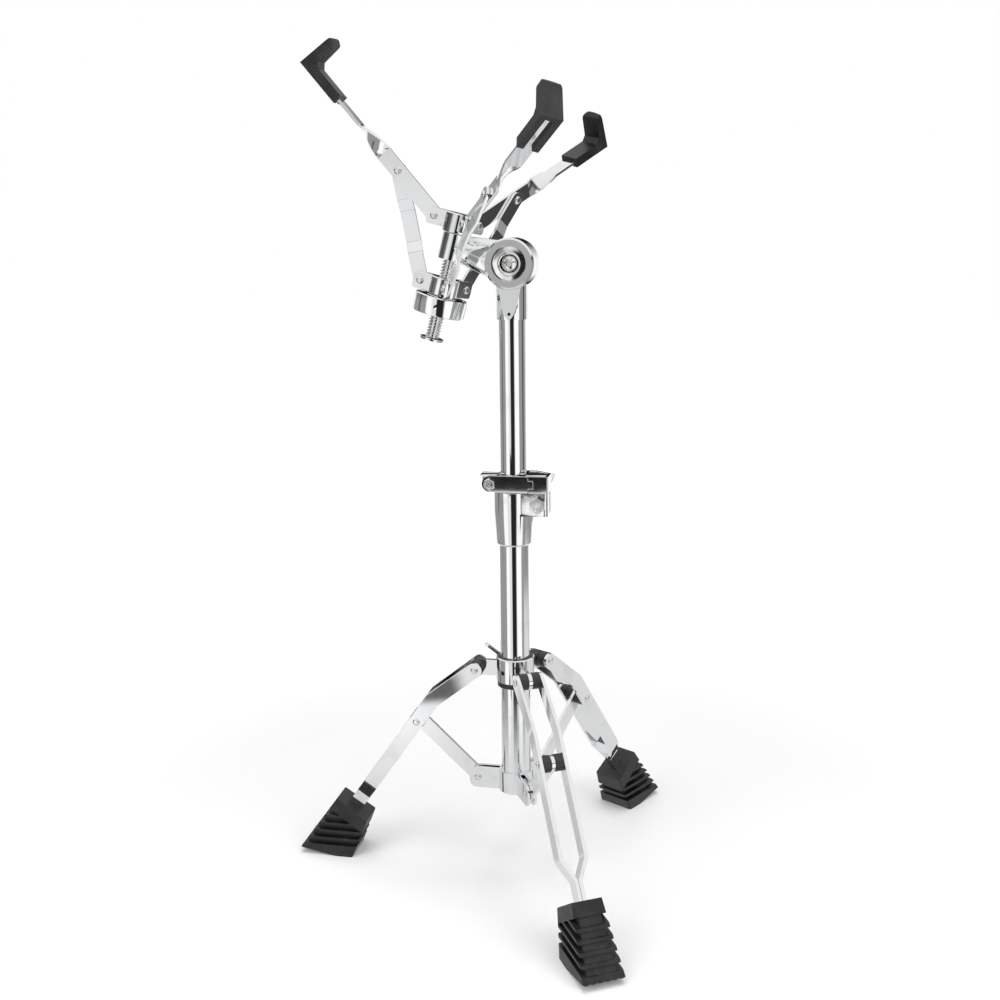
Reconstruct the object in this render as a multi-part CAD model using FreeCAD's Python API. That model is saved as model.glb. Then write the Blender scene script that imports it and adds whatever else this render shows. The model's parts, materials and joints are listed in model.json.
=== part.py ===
import FreeCAD, Part
import math
import os
from FreeCAD import Vector

# Snare drum stand: folding tripod, two-stage pole, disc tilter and three-arm basket.
# Millimetres, +Z up, origin on the floor under the pole axis. The tilter turns about Y
# and the basket hangs out over -X.

# Fits shared by all pieces
turn_clearance = 0.05        # radial, pivots and screws that turn
slide_clearance = 0.08       # radial, bushes and hubs that slide
side_clearance = 0.2         # between flat faces that move past each other
press_gap = 0.0              # radial, pieces fixed to each other
cut_margin = 1.0             # cutting tools run past the faces they cut
coincident = 1e-4            # points closer than this are the same point

# Pole
lower_tube_dia = 25.4
lower_tube_wall = 1.2
upper_tube_dia = 22.2
upper_tube_wall = 1.2
upper_tube_foot = 176.0      # height of the upper tube's lower end, inside the lower tube
upper_tube_top = 491.4

# Tripod
leg_azimuths = {"left": 180.0, "front": -60.0, "rear": 60.0}
pivot_radius = 33.7          # collar and bracket pivots, from the pole axis
collar_pivot_height = 184.0
bracket_pivot_height = 82.0
knee_radius = 86.8           # brace pivot on the leg, from the pole axis
lower_leg_angle = 54.9       # degrees below level
elbow_rise = 25.5            # from the brace pivot up to the elbow
foot_reach = 112.7           # from the brace pivot down to the mouth of the foot
strap_in_foot = 18.0
strap_width = 13.0
strap_thickness = 3.0
strap_gap = 18.0             # between the two straps of a leg
merge_length = 17.0          # along the leg, where the two straps bend together
merge_to_foot = 19.8         # from there on to the mouth of the foot
merge_gap = 0.2
brace_thickness = 3.2
bush_dia = 14.0
rivet_dia = 4.5
rivet_head_dia = 7.0
rivet_head_height = 1.5
rivet_crown_dia = 4.2        # flat top of the coned head

# Bottom bracket
bracket_wall = 2.2
bracket_height = 19.0
bracket_ear_thickness = 2.4
bracket_ear_overhang = 7.5   # beyond its pivot
bracket_ear_round = 6.0

# Leg collar
collar_dia = 33.0
collar_height = 22.0
collar_rise = 1.0            # collar's middle above its pivots
collar_edge = 0.8
collar_ear_thickness = 3.2
collar_ear_width = 14.0
collar_bush_wall = 1.5
collar_bush_flange_dia = 31.0
collar_bush_flange = 4.0
collar_boss_dia = 13.0
collar_boss_reach = 22.0     # outer face of the wing bolt's boss, from the pole axis
collar_screw_dia = 4.0
collar_screw_azimuth = -120.0
wing_bolt_azimuth = 120.0
wing_bolt_turn = 130.0       # degrees of the wings from upright
wing_bolt_dia = 6.0
wing_bolt_tip_gap = 0.3      # between its tip and the lower tube

# Wing heads
wing_hub_dia = 13.0
wing_hub_end_dia = 10.0
wing_hub_height = 9.0
wing_root = 3.0              # along the axis, where the wings leave the hub
wing_rise = 12.0             # along the axis, to the round tip's centre
wing_spread = 16.5           # across the axis, to the round tip's centre
wing_width = 8.0
wing_thickness = 2.6

# Rubber feet
foot_cap_half_width = 12.4
foot_cap_outer = 17.0        # from the leg's centre line, on the outer side
foot_cap_inner = 17.0
foot_cap_lift = 4.0          # cap stands up past the mouth of the straps
foot_cap_depth = 11.5
foot_sole_back = -2.6        # sole's inner edge, outward of the mouth of the straps
foot_sole_length = 49.0
foot_sole_flat = 16.0        # part of the sole that lies on the floor
foot_sole_rise = 6.0         # of the sole's outer edge
foot_sole_half_width = 18.0
foot_base_height = 10.0
foot_corner = 1.6
foot_fin_count = 4
foot_fin_pitch = 7.0
foot_fin_thickness = 2.2
foot_fin_depth = 4.2         # grooves in the sides
foot_groove_depth = 1.6      # grooves in the inner and outer ends
foot_pocket_gap = 0.1

# Height sleeve and its clamp
sleeve_foot = 295.5
sleeve_height = 46.2
sleeve_foot_dia = 30.0
sleeve_top_dia = 33.5
sleeve_taper_height = 29.0
sleeve_edge = 1.6
sleeve_bush_height = 11.0
lug_reach = 30.8             # from the pole axis
lug_half_width = 14.0
lug_height = 19.6
lug_corner = 3.0
slit_width = 3.0
slit_depth = 26.0
clamp_bolt_dia = 8.0
clamp_bolt_reach = 22.8      # from the pole axis
clamp_bolt_drop = 9.4        # below the sleeve's top
clamp_head_flats = 12.0
clamp_head_height = 5.0
clamp_wing_turn = 20.0       # degrees of the wings from upright

# Memory lock
lock_height = 14.0
lock_plate = 2.5
lock_tube_gap = 0.3
lock_left_reach = 24.4       # round end of the front jaw
lock_split = 14.4            # where the two jaws meet at the front
lock_split_gap = 0.4
lock_right_reach = 31.4
lock_side_depth = 4.0        # rear jaw's side wall runs back to here
lock_shoulder = 17.0         # rear jaw's back corner
lock_back_left = 7.0          # rear jaw's other back corner
lock_flange_depth = 3.2
lock_flange_reach = 27.0
lock_screw_reach = 17.4
lock_screw_dia = 4.5
lock_nut_flats = 9.0
lock_nut_height = 4.0
lock_key_head = 5.4          # square head for a drum key
lock_key_collar_dia = 7.8
lock_key_height = 6.0
tongue_height = 6.6
tongue_length = 4.4

# Nylon guide at the foot of the upper tube
guide_flange = 10.0
guide_spigot = 14.0
guide_bore_dia = 10.0

# Tilter
disc_dia = 40.6
disc_rise = 36.4             # disc axis above the upper tube's top
disc_front = -12.0           # faces of the arm's disc and the socket's disc along Y
disc_split = 3.0
disc_back = 16.0
disc_edge = 1.5
disc_recess_dia = 28.4
disc_recess_depth = 3.2
disc_dish_dia = 17.0
disc_dish_depth = 1.2
cradle_gap = 0.5
socket_foot_dia = 25.0
socket_top_dia = 25.2
socket_overlap = 8.0         # down over the upper tube
facet_foot = 1.1             # above the socket's foot
facet_lean = 0.153           # run per rise of the flat facets
socket_pin_dia = 2.6
socket_pin_rise = 4.6         # above the socket's foot
socket_pin_half = 10.4
tilter_bolt_dia = 6.0
tilter_head_dia = 14.4
tilter_head_height = 4.0
tilter_key_flats = 5.0
tilter_key_depth = 2.4
tilter_bolt_tail = 12.0      # past the socket's disc

# Tilter arm and boss
arm_length = 49.6            # disc axis to boss centre
arm_rise_angle = 15.7        # degrees above level
arm_root = 12.0              # first section, from the disc axis
arm_waist = 22.5
arm_root_half_height = 15.6
arm_waist_half_height = 14.0
arm_half_thickness = 7.2
arm_boss_half_height = 9.9
arm_boss_half_thickness = 9.8
boss_dia = 21.0
boss_height = 21.0
basket_lean = 15.0           # degrees, top towards +X

# Basket rod and hubs
rod_dia = 12.0
rod_length = 104.0
rod_top = 5.0                # above the arm pivots
rod_tip_dia = 6.0
rod_tip_length = 3.0
end_disc_dia = 20.0
end_disc_thickness = 2.0
hub_dia = 24.0
hub_top = 6.5                # above the arm pivots
hub_drop = 10.0              # below the arm pivots, down to the boss
hub_ear_width = 14.0
hub_ear_thickness = 2.3
hub_ear_overhang = 6.0       # past the pivot
hub_ear_corner = 2.5
hub_edge = 1.0
basket_pivot_radius = 20.5   # arm and link pivots, from the rod axis
link_pivot_drop = 53.0       # below the arm pivots
lower_hub_rise = 7.0         # above the link pivots
lower_hub_drop = 8.0
ring_nut_dia = 43.0
ring_nut_height = 15.0
ring_nut_edge = 1.0

# Basket arms, links and tips
arm_azimuths = {"left": 180.0, "front": -60.0, "rear": 60.0}
arm_angle = 35.0             # degrees above the hub's plane
arm_width = 13.0
arm_thickness = 2.5
arm_link_reach = 46.6        # arm pivot to link pivot
twist_start = 64.0
twist_end = 94.0
twist_steps = 6
twist_angle = 90.0
link_width = 12.5
link_thickness = 2.5
link_step = 2.3              # joggle to the side
link_bends = (22.6, 32.1, 56.8, 65.5)    # from the arm's end of the link
open_pivot_clearance = 1.12  # radial, link hole on the arm's rivet
tip_start = 119.0            # along the arm
tip_length = 41.5
tip_half_thickness = 4.0
tip_half_width = 8.4
tip_upright = 29.5           # above the arm's centre line
tip_foot_thickness = 9.0     # of the upright, at the corner
tip_top_thickness = 6.4
tip_lean = 2.6               # upright's top leans back towards the rod
tip_round = 7.0
tip_slot_half_width = 3.2
tip_slot_end = 4.5           # slot stops short of the corner
tip_pocket_gap = 0.05
strap_end_gap = 3.5          # arm's end stops short of the corner

# Heights and places that follow from the sizes above
lower_tube_radius = lower_tube_dia / 2
upper_tube_radius = upper_tube_dia / 2
lower_tube_bore = lower_tube_radius - lower_tube_wall
upper_tube_bore = upper_tube_radius - upper_tube_wall
collar_foot = collar_pivot_height - collar_height / 2 + collar_rise
bracket_foot = bracket_pivot_height - bracket_height / 2
sleeve_top = sleeve_foot + sleeve_height
lower_tube_top = sleeve_top - sleeve_bush_height
lock_foot = sleeve_top + side_clearance
lock_middle = lock_foot + lock_height / 2
clamp_bolt_height = sleeve_top - clamp_bolt_drop
disc_height = upper_tube_top + disc_rise
socket_foot = upper_tube_top - socket_overlap
knee_height = (collar_pivot_height + bracket_pivot_height) / 2
strap_outer = strap_gap / 2 + strap_thickness
merge_end = foot_reach - merge_to_foot
merge_start = merge_end - merge_length
hub_pivot_rise = boss_height / 2 + hub_drop
rod_foot = rod_top - rod_length
collar_bush_radius = lower_tube_radius + slide_clearance + collar_bush_wall


def fuse_all(shapes):
    """Join shapes into one clean solid."""
    joined = shapes[0].multiFuse(shapes[1:])
    return joined.removeSplitter()


def ring_z(outer_radius, inner_radius, low, high):
    """Round ring about the pole axis."""
    outer = Part.makeCylinder(outer_radius, high - low, Vector(0, 0, low))
    return outer.cut(Part.makeCylinder(inner_radius, high - low, Vector(0, 0, low)))


def rod_y(radius, low, high, x, z):
    """Round bar along Y."""
    return Part.makeCylinder(radius, high - low, Vector(x, low, z), Vector(0, 1, 0))


def rod_x(radius, low, high, z):
    """Round bar along X, in the plane y = 0."""
    return Part.makeCylinder(radius, high - low, Vector(low, 0, z), Vector(1, 0, 0))


def prism_y(points, low, high):
    """Outline of (x, z) points, made thick along Y."""
    corners = [Vector(x, low, z) for x, z in points]
    outline = Part.makePolygon(corners + corners[:1])
    return Part.Face(outline).extrude(Vector(0, high - low, 0))


def strap_y(points, width, low, high, square_end=False):
    """Flat strap along a path of (x, z) points, thick along Y, with round ends and elbows."""
    pieces = []
    for (xa, za), (xb, zb) in zip(points, points[1:]):
        length = math.hypot(xb - xa, zb - za)
        across_x = -(zb - za) / length * width / 2
        across_z = (xb - xa) / length * width / 2
        corners = [(xa - across_x, za - across_z), (xb - across_x, zb - across_z)]
        corners += [(xb + across_x, zb + across_z), (xa + across_x, za + across_z)]
        pieces.append(prism_y(corners, low, high))
    round_points = points[:-1] if square_end else points
    for x, z in round_points:
        pieces.append(rod_y(width / 2, low, high, x, z))
    return fuse_all(pieces)


def round_head(radius, base, peak):
    """Low round cap on the Y axis, flat at y = base and highest at y = peak."""
    rise = abs(peak - base)
    side = 1 if peak > base else -1
    ball_radius = (radius * radius + rise * rise) / (2 * rise)
    ball = Part.makeSphere(ball_radius, Vector(0, peak - side * ball_radius, 0))
    return ball.common(rod_y(2 * radius, min(base, peak), max(base, peak), 0, 0))


def rivet_y(x, z, low, high):
    """Rivet along Y with a coned head on the faces at low and high."""
    wide = rivet_head_dia / 2
    crown = rivet_crown_dia / 2
    near = Part.makeCone(wide, crown, rivet_head_height, Vector(x, low, z), Vector(0, -1, 0))
    far = Part.makeCone(wide, crown, rivet_head_height, Vector(x, high, z), Vector(0, 1, 0))
    return fuse_all([rod_y(rivet_dia / 2, low, high, x, z), near, far])


def rim_at(disc, y):
    """Round edge of a disc at one of its faces along Y."""
    rims = [edge for edge in disc.Edges if len(edge.Vertexes) == 1]
    return [edge for edge in rims if abs(edge.CenterOfMass.y - y) < coincident]


def hexagon_y(flats, low, high, x, z):
    """Hexagonal bar along Y with a corner at the top."""
    corner = flats / math.sqrt(3)
    angles = [math.radians(90 + 60 * side) for side in range(6)]
    return prism_y([(x + corner * math.cos(a), z + corner * math.sin(a)) for a in angles], low, high)


def wing_head():
    """Hub and two wings on the X axis, with the wings spread along Z."""
    axis = Vector(1, 0, 0)
    hub = Part.makeCone(wing_hub_dia / 2, wing_hub_end_dia / 2, wing_hub_height, Vector(0, 0, 0), axis)
    pieces = [hub]
    for side in (1, -1):
        path = [(wing_root, 0), (wing_rise, side * wing_spread)]
        pieces.append(strap_y(path, wing_width, -wing_thickness / 2, wing_thickness / 2))
    head = fuse_all(pieces)
    return head.cut(Part.makeBox(wing_width, 2 * wing_spread, 4 * wing_spread,
                                 Vector(-wing_width, -wing_spread, -2 * wing_spread)))


def about_pole(shape, azimuth):
    """Copy turned about the pole axis."""
    turned = shape.copy()
    turned.rotate(Vector(0, 0, 0), Vector(0, 0, 1), azimuth)
    return turned


def save(name, *solids):
    """Write one node, with its solids side by side in the file."""
    shape = solids[0] if len(solids) == 1 else Part.makeCompound(list(solids))
    shape.exportStep("parts/" + name + ".step")


# Leg geometry in the plane of a leg: x runs out from the pole axis, z runs up

def leg_down():
    """Unit direction down the lower leg."""
    angle = math.radians(lower_leg_angle)
    return math.cos(angle), -math.sin(angle)


def leg_point(along, outward=0.0):
    """Point on the lower leg, measured from the brace pivot and off its centre line."""
    run, fall = leg_down()
    x = knee_radius + run * along - fall * outward
    z = knee_height + fall * along + run * outward
    return x, z


def leg_strap():
    """One strap of a leg, on the +Y side: flat with an elbow, bent in towards the foot."""
    end = foot_reach + strap_in_foot
    path = [(pivot_radius, collar_pivot_height), leg_point(-elbow_rise), leg_point(end)]
    flat = strap_y(path, strap_width, -strap_outer, 2 * strap_outer, square_end=True)
    near = strap_gap / 2
    shut = merge_gap / 2
    bend = math.atan2(near - shut, merge_end - merge_start)
    lag = strap_thickness * math.tan(bend / 2)
    top = -4 * elbow_rise - pivot_radius
    plan = [(top, near), (merge_start, near), (merge_end, shut), (end + strap_width, shut)]
    plan += [(end + strap_width, shut + strap_thickness), (merge_end + lag, shut + strap_thickness)]
    plan += [(merge_start + lag, near + strap_thickness), (top, near + strap_thickness)]
    depth = foot_reach
    corners = []
    for along, side in plan:
        x, z = leg_point(along, -depth)
        corners.append(Vector(x, side, z))
    run, fall = leg_down()
    band = Part.Face(Part.makePolygon(corners + corners[:1])).extrude(Vector(-fall, 0, run) * (2 * depth))
    strap = flat.common(band)
    for x, z in ((pivot_radius, collar_pivot_height), (knee_radius, knee_height)):
        strap = strap.cut(rod_y(rivet_dia / 2 + press_gap, 0, 2 * strap_outer, x, z))
    return strap.Solids[0]


def leg_straps():
    """Both straps of a leg."""
    strap = leg_strap()
    return [strap, strap.mirror(Vector(0, 0, 0), Vector(0, 1, 0))]


def leg_bushes():
    """Black bushes on both sides of the collar's ear and of the brace."""
    bushes = []
    stations = [(pivot_radius, collar_pivot_height, collar_ear_thickness)]
    stations.append((knee_radius, knee_height, brace_thickness))
    for x, z, plate in stations:
        inner = plate / 2 + side_clearance
        bush = rod_y(bush_dia / 2, inner, strap_gap / 2, x, z)
        bush = bush.cut(rod_y(rivet_dia / 2 + press_gap, inner, strap_gap / 2, x, z))
        bushes += [bush, bush.mirror(Vector(0, 0, 0), Vector(0, 1, 0))]
    return bushes


def leg_rivets():
    """Pivot rivets of a leg, at the collar and at the brace."""
    upper = rivet_y(pivot_radius, collar_pivot_height, -strap_outer, strap_outer)
    lower = rivet_y(knee_radius, knee_height, -strap_outer, strap_outer)
    return [upper, lower]


def brace():
    """Single strap from the bracket's ears to the leg."""
    ends = [(pivot_radius, bracket_pivot_height), (knee_radius, knee_height)]
    strap = strap_y(ends, strap_width, -brace_thickness / 2, brace_thickness / 2)
    for x, z in ends:
        strap = strap.cut(rod_y(rivet_dia / 2 + turn_clearance, -brace_thickness, brace_thickness, x, z))
    return strap


def foot_block(inset, side_inset):
    """Slanted block from the cap's top to the sole, drawn in at its ends and at its sides."""
    lift = foot_reach - foot_cap_lift
    mouth = leg_point(foot_reach)[0]
    back = mouth + foot_sole_back + inset
    front = mouth + foot_sole_back + foot_sole_length - inset
    outer = leg_point(lift, foot_cap_outer - inset)
    inner = leg_point(lift, inset - foot_cap_inner)
    flat = mouth + foot_sole_back + foot_sole_flat
    profile = [outer, inner, (back, 0), (flat, 0), (front, foot_sole_rise)]
    block = prism_y(profile, -foot_sole_half_width, foot_sole_half_width)
    top = outer[1]
    wide = foot_sole_half_width - side_inset
    slim = foot_cap_half_width - side_inset
    face = [Vector(0, wide, 0), Vector(0, slim, top), Vector(0, -slim, top), Vector(0, -wide, 0)]
    taper = Part.Face(Part.makePolygon(face + face[:1])).extrude(Vector(2 * front, 0, 0))
    block = block.common(taper)
    corners = []
    for edge in block.Edges:
        ends = [vertex.Point.z for vertex in edge.Vertexes]
        if min(ends) < foot_base_height < max(ends):
            corners.append(edge)
    return block.makeFillet(foot_corner, corners)


def foot():
    """Ribbed rubber foot with a pocket for the strap ends."""
    block = foot_block(0, 0)
    pieces = [foot_block(foot_groove_depth, foot_fin_depth)]
    wide = 4 * foot_sole_length
    corner = Vector(0, -wide / 2, 0)
    pieces.append(block.common(Part.makeBox(2 * wide, wide, foot_base_height, corner)))
    for fin in range(foot_fin_count):
        low = foot_base_height + foot_fin_pitch * (fin + 1) - foot_fin_thickness
        slab = Part.makeBox(2 * wide, wide, foot_fin_thickness, corner + Vector(0, 0, low))
        pieces.append(block.common(slab))
    cap_end = foot_reach - foot_cap_lift + foot_cap_depth
    reach = foot_sole_length
    cap = [leg_point(cap_end, -reach), leg_point(cap_end, reach)]
    cap += [leg_point(cap_end - reach, reach), leg_point(cap_end - reach, -reach)]
    pieces.append(block.common(prism_y(cap, -wide / 2, wide / 2)))
    rubber = fuse_all(pieces)
    half = strap_width / 2 + foot_pocket_gap
    deep = foot_reach + strap_in_foot + foot_pocket_gap
    mouth = foot_reach - foot_cap_depth
    pocket = [leg_point(mouth, -half), leg_point(deep, -half)]
    pocket += [leg_point(deep, half), leg_point(mouth, half)]
    side = merge_gap / 2 + strap_thickness + foot_pocket_gap
    return rubber.cut(prism_y(pocket, -side, side))


def bottom_bracket():
    """Stamped band round the foot of the lower tube, with a pair of ears for each brace."""
    top = bracket_foot + bracket_height
    band = Part.makeCylinder(lower_tube_radius + bracket_wall, bracket_height, Vector(0, 0, bracket_foot))
    reach = pivot_radius + bracket_ear_overhang
    outline = [(0, bracket_foot), (reach, bracket_foot), (reach, top), (0, top)]
    blank = prism_y(outline, 0, bracket_ear_thickness)
    outer = []
    for edge in blank.Edges:
        along_y = abs(edge.Length - bracket_ear_thickness) < coincident
        if along_y and edge.CenterOfMass.x > reach - coincident:
            outer.append(edge)
    blank = blank.makeFillet(bracket_ear_round, outer)
    past = bracket_ear_thickness + cut_margin
    hole = rod_y(rivet_dia / 2 + press_gap, -cut_margin, past, pivot_radius, bracket_pivot_height)
    blank = blank.cut(hole)
    inner = brace_thickness / 2 + side_clearance
    pieces = [band]
    for azimuth in leg_azimuths.values():
        near = blank.copy()
        near.translate(Vector(0, inner, 0))
        far = near.mirror(Vector(0, 0, 0), Vector(0, 1, 0))
        pieces += [about_pole(near, azimuth), about_pole(far, azimuth)]
    bracket = fuse_all(pieces)
    return bracket.cut(Part.makeCylinder(lower_tube_radius + press_gap, 2 * bracket_height,
                                         Vector(0, 0, bracket_foot - bracket_height / 2)))


def bracket_rivets():
    """Pivot rivets of the three braces."""
    face = brace_thickness / 2 + side_clearance + bracket_ear_thickness
    rivet = rivet_y(pivot_radius, bracket_pivot_height, -face, face)
    return [about_pole(rivet, azimuth) for azimuth in leg_azimuths.values()]


def leg_collar():
    """Casting that slides on the lower tube, with an ear for each leg and a boss for the wing bolt."""
    body = Part.makeCylinder(collar_dia / 2, collar_height, Vector(0, 0, collar_foot))
    body = body.makeChamfer(collar_edge, [edge for edge in body.Edges if len(edge.Vertexes) == 1])
    half = collar_ear_thickness / 2
    root = collar_dia / 2 - collar_ear_thickness
    path = [(root, collar_pivot_height), (pivot_radius, collar_pivot_height)]
    ear = strap_y(path, collar_ear_width, -half, half)
    bore = rivet_dia / 2 + turn_clearance
    ear = ear.cut(rod_y(bore, -2 * half, 2 * half, pivot_radius, collar_pivot_height))
    pieces = [body] + [about_pole(ear, azimuth) for azimuth in leg_azimuths.values()]
    boss = rod_x(collar_boss_dia / 2, 0, collar_boss_reach, collar_pivot_height)
    pieces.append(about_pole(boss, wing_bolt_azimuth))
    collar = fuse_all(pieces)
    collar = collar.cut(Part.makeCylinder(collar_bush_radius + press_gap, 2 * collar_height,
                                          Vector(0, 0, collar_foot - collar_height / 2)))
    bolt_hole = rod_x(wing_bolt_dia / 2 + turn_clearance, 0, 2 * collar_dia, collar_pivot_height)
    collar = collar.cut(about_pole(bolt_hole, wing_bolt_azimuth))
    screw_hole = rod_x(collar_screw_dia / 2, 0, collar_dia, collar_pivot_height)
    return collar.cut(about_pole(screw_hole, collar_screw_azimuth))


def collar_bush():
    """Nylon bush in the collar, with a flange that shows below it."""
    inner = lower_tube_radius + slide_clearance
    low = collar_foot - collar_bush_flange
    bush = ring_z(collar_bush_radius, inner, low, collar_foot + collar_height)
    bush = bush.fuse(ring_z(collar_bush_flange_dia / 2, inner, low, collar_foot)).removeSplitter()
    hole = rod_x(wing_bolt_dia / 2 + turn_clearance, 0, collar_dia, collar_pivot_height)
    return bush.cut(about_pole(hole, wing_bolt_azimuth))


def collar_wing_bolt():
    """Wing bolt through the collar's boss."""
    head = wing_head()
    head.rotate(Vector(0, 0, 0), Vector(1, 0, 0), wing_bolt_turn)
    head.translate(Vector(collar_boss_reach + side_clearance, 0, collar_pivot_height))
    tip = lower_tube_radius + wing_bolt_tip_gap
    shank = rod_x(wing_bolt_dia / 2, tip, collar_boss_reach + wing_hub_height, collar_pivot_height)
    return about_pole(fuse_all([head, shank]), wing_bolt_azimuth)


def lower_tube():
    """Outer tube of the pole."""
    return ring_z(lower_tube_radius, lower_tube_bore, bracket_foot, lower_tube_top)


def height_sleeve():
    """Tapered casting on top of the lower tube, with a split lug for the clamp bolt."""
    foot_radius = sleeve_foot_dia / 2
    top_radius = sleeve_top_dia / 2
    outline = [(0, sleeve_foot), (foot_radius - sleeve_edge, sleeve_foot)]
    outline += [(foot_radius, sleeve_foot + sleeve_edge), (top_radius, sleeve_foot + sleeve_taper_height)]
    outline += [(top_radius, sleeve_top), (0, sleeve_top)]
    corners = [Vector(x, 0, z) for x, z in outline]
    half_section = Part.Face(Part.makePolygon(corners + corners[:1]))
    body = half_section.revolve(Vector(0, 0, 0), Vector(0, 0, 1), 360)
    lug = Part.makeBox(lug_reach, 2 * lug_half_width, lug_height,
                       Vector(0, -lug_half_width, sleeve_top - lug_height))
    middle = sleeve_top - lug_height / 2
    upright = []
    for edge in lug.Edges:
        centre = edge.CenterOfMass
        if centre.x > lug_reach - coincident and abs(centre.z - middle) < coincident:
            upright.append(edge)
    lug = lug.makeFillet(lug_corner, upright)
    sleeve = fuse_all([body, lug])
    sleeve = sleeve.cut(Part.makeCylinder(lower_tube_radius + press_gap, 2 * sleeve_height,
                                          Vector(0, 0, sleeve_foot - sleeve_height / 2)))
    slit = Part.makeBox(2 * lug_reach, slit_width, 2 * slit_depth,
                        Vector(0, -slit_width / 2, sleeve_top - slit_depth))
    sleeve = sleeve.cut(slit)
    bolt_hole = rod_y(clamp_bolt_dia / 2 + press_gap, -2 * lug_half_width, 2 * lug_half_width,
                      clamp_bolt_reach, clamp_bolt_height)
    return sleeve.cut(bolt_hole)


def sleeve_bush():
    """Nylon ring between the sleeve and the upper tube, on top of the lower tube."""
    inner = upper_tube_radius + slide_clearance
    return ring_z(lower_tube_radius - press_gap, inner, lower_tube_top, sleeve_top)


def clamp_bolt():
    """Hex bolt across the sleeve's lug."""
    face = -lug_half_width
    head = hexagon_y(clamp_head_flats, face - clamp_head_height, face, clamp_bolt_reach, clamp_bolt_height)
    end = lug_half_width + wing_hub_height + 2 * side_clearance
    start = face - clamp_head_height / 2
    shank = rod_y(clamp_bolt_dia / 2, start, end, clamp_bolt_reach, clamp_bolt_height)
    return fuse_all([head, shank])


def wing_nut(bore_radius, x, y, z, turn):
    """Wing nut facing +Y with its seat at y, wings turned from upright about Y."""
    nut = wing_head().cut(rod_x(bore_radius, -wing_hub_height, 4 * wing_hub_height, 0))
    nut.rotate(Vector(0, 0, 0), Vector(0, 0, 1), 90)
    nut.rotate(Vector(0, 0, 0), Vector(0, 1, 0), turn)
    nut.translate(Vector(x, y, z))
    return nut


def clamp_wing_nut():
    """Wing nut on the clamp bolt, behind the lug."""
    seat = lug_half_width + side_clearance
    bore = clamp_bolt_dia / 2 + turn_clearance
    return wing_nut(bore, clamp_bolt_reach, seat, clamp_bolt_height, clamp_wing_turn)


def lock_front_jaw():
    """Flat front bar of the memory lock, round at the screw's end, with a tongue at the other."""
    inner = -upper_tube_radius - lock_tube_gap
    outer = inner - lock_plate
    path = [(lock_height / 2 - lock_left_reach, lock_middle), (lock_split, lock_middle)]
    bar = strap_y(path, lock_height, outer, inner, square_end=True)
    half = tongue_height / 2
    low, high = lock_middle - half, lock_middle + half
    start = lock_split - lock_plate
    tongue = prism_y([(start, low), (lock_split + tongue_length, low), (lock_split + tongue_length, high),
                      (start, high)], outer, inner)
    hole = rod_y(lock_screw_dia / 2 + press_gap, outer, inner, -lock_screw_reach, lock_middle)
    return fuse_all([bar, tongue]).cut(hole)


def bent_strip(points, thickness, low, height):
    """Upright strip along a path of (x, y) points, round at its bends."""
    pieces = []
    for (xa, ya), (xb, yb) in zip(points, points[1:]):
        length = math.hypot(xb - xa, yb - ya)
        across_x = -(yb - ya) / length * thickness / 2
        across_y = (xb - xa) / length * thickness / 2
        corners = [Vector(xa - across_x, ya - across_y, low), Vector(xb - across_x, yb - across_y, low)]
        corners += [Vector(xb + across_x, yb + across_y, low), Vector(xa + across_x, ya + across_y, low)]
        face = Part.Face(Part.makePolygon(corners + corners[:1]))
        pieces.append(face.extrude(Vector(0, 0, height)))
    for x, y in points[1:-1]:
        pieces.append(Part.makeCylinder(thickness / 2, height, Vector(x, y, low)))
    return fuse_all(pieces)


def lock_rear_jaw():
    """Rear jaw of the memory lock: hooked on the tongue, round the tube's back, to the screw's flange."""
    front = -upper_tube_radius - lock_tube_gap - lock_plate / 2
    back = upper_tube_radius + lock_tube_gap + lock_plate
    right = lock_right_reach - lock_plate / 2
    start = lock_split + lock_split_gap
    path = [(start, front), (right, front), (right, lock_side_depth), (lock_shoulder, back)]
    path += [(-lock_back_left, back), (front, lock_flange_depth)]
    path += [(-lock_flange_reach, lock_flange_depth)]
    strip = bent_strip(path, lock_plate, lock_foot, lock_height)
    half = tongue_height / 2 + lock_split_gap / 2
    end = lock_split + tongue_length + lock_split_gap
    low, high = lock_middle - half, lock_middle + half
    slot = prism_y([(0, low), (end, low), (end, high), (0, high)], front - lock_plate, front + lock_plate)
    past = 2 * lock_flange_depth + lock_plate
    hole = rod_y(lock_screw_dia / 2 + press_gap, 0, past, -lock_screw_reach, lock_middle)
    return strip.cut(slot).cut(hole)


def lock_screw():
    """Key-headed screw across the memory lock's jaws."""
    back = lock_flange_depth + lock_plate / 2
    front = -upper_tube_radius - lock_tube_gap - lock_plate
    shank = rod_y(lock_screw_dia / 2, front - lock_nut_height, back + lock_key_height / 2,
                  -lock_screw_reach, lock_middle)
    rim = back + lock_key_height / 3
    collar = rod_y(lock_key_collar_dia / 2, back, rim, -lock_screw_reach, lock_middle)
    half = lock_key_head / 2
    left, right = -lock_screw_reach - half, -lock_screw_reach + half
    low, high = lock_middle - half, lock_middle + half
    key = prism_y([(left, low), (right, low), (right, high), (left, high)], back, back + lock_key_height)
    return fuse_all([shank, collar, key])


def lock_nut():
    """Hex nut at the front of the memory lock."""
    face = -upper_tube_radius - lock_tube_gap - lock_plate
    nut = hexagon_y(lock_nut_flats, face - lock_nut_height, face, -lock_screw_reach, lock_middle)
    bore = lock_screw_dia / 2 + press_gap
    return nut.cut(rod_y(bore, face - lock_nut_height, face, -lock_screw_reach, lock_middle))


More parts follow.
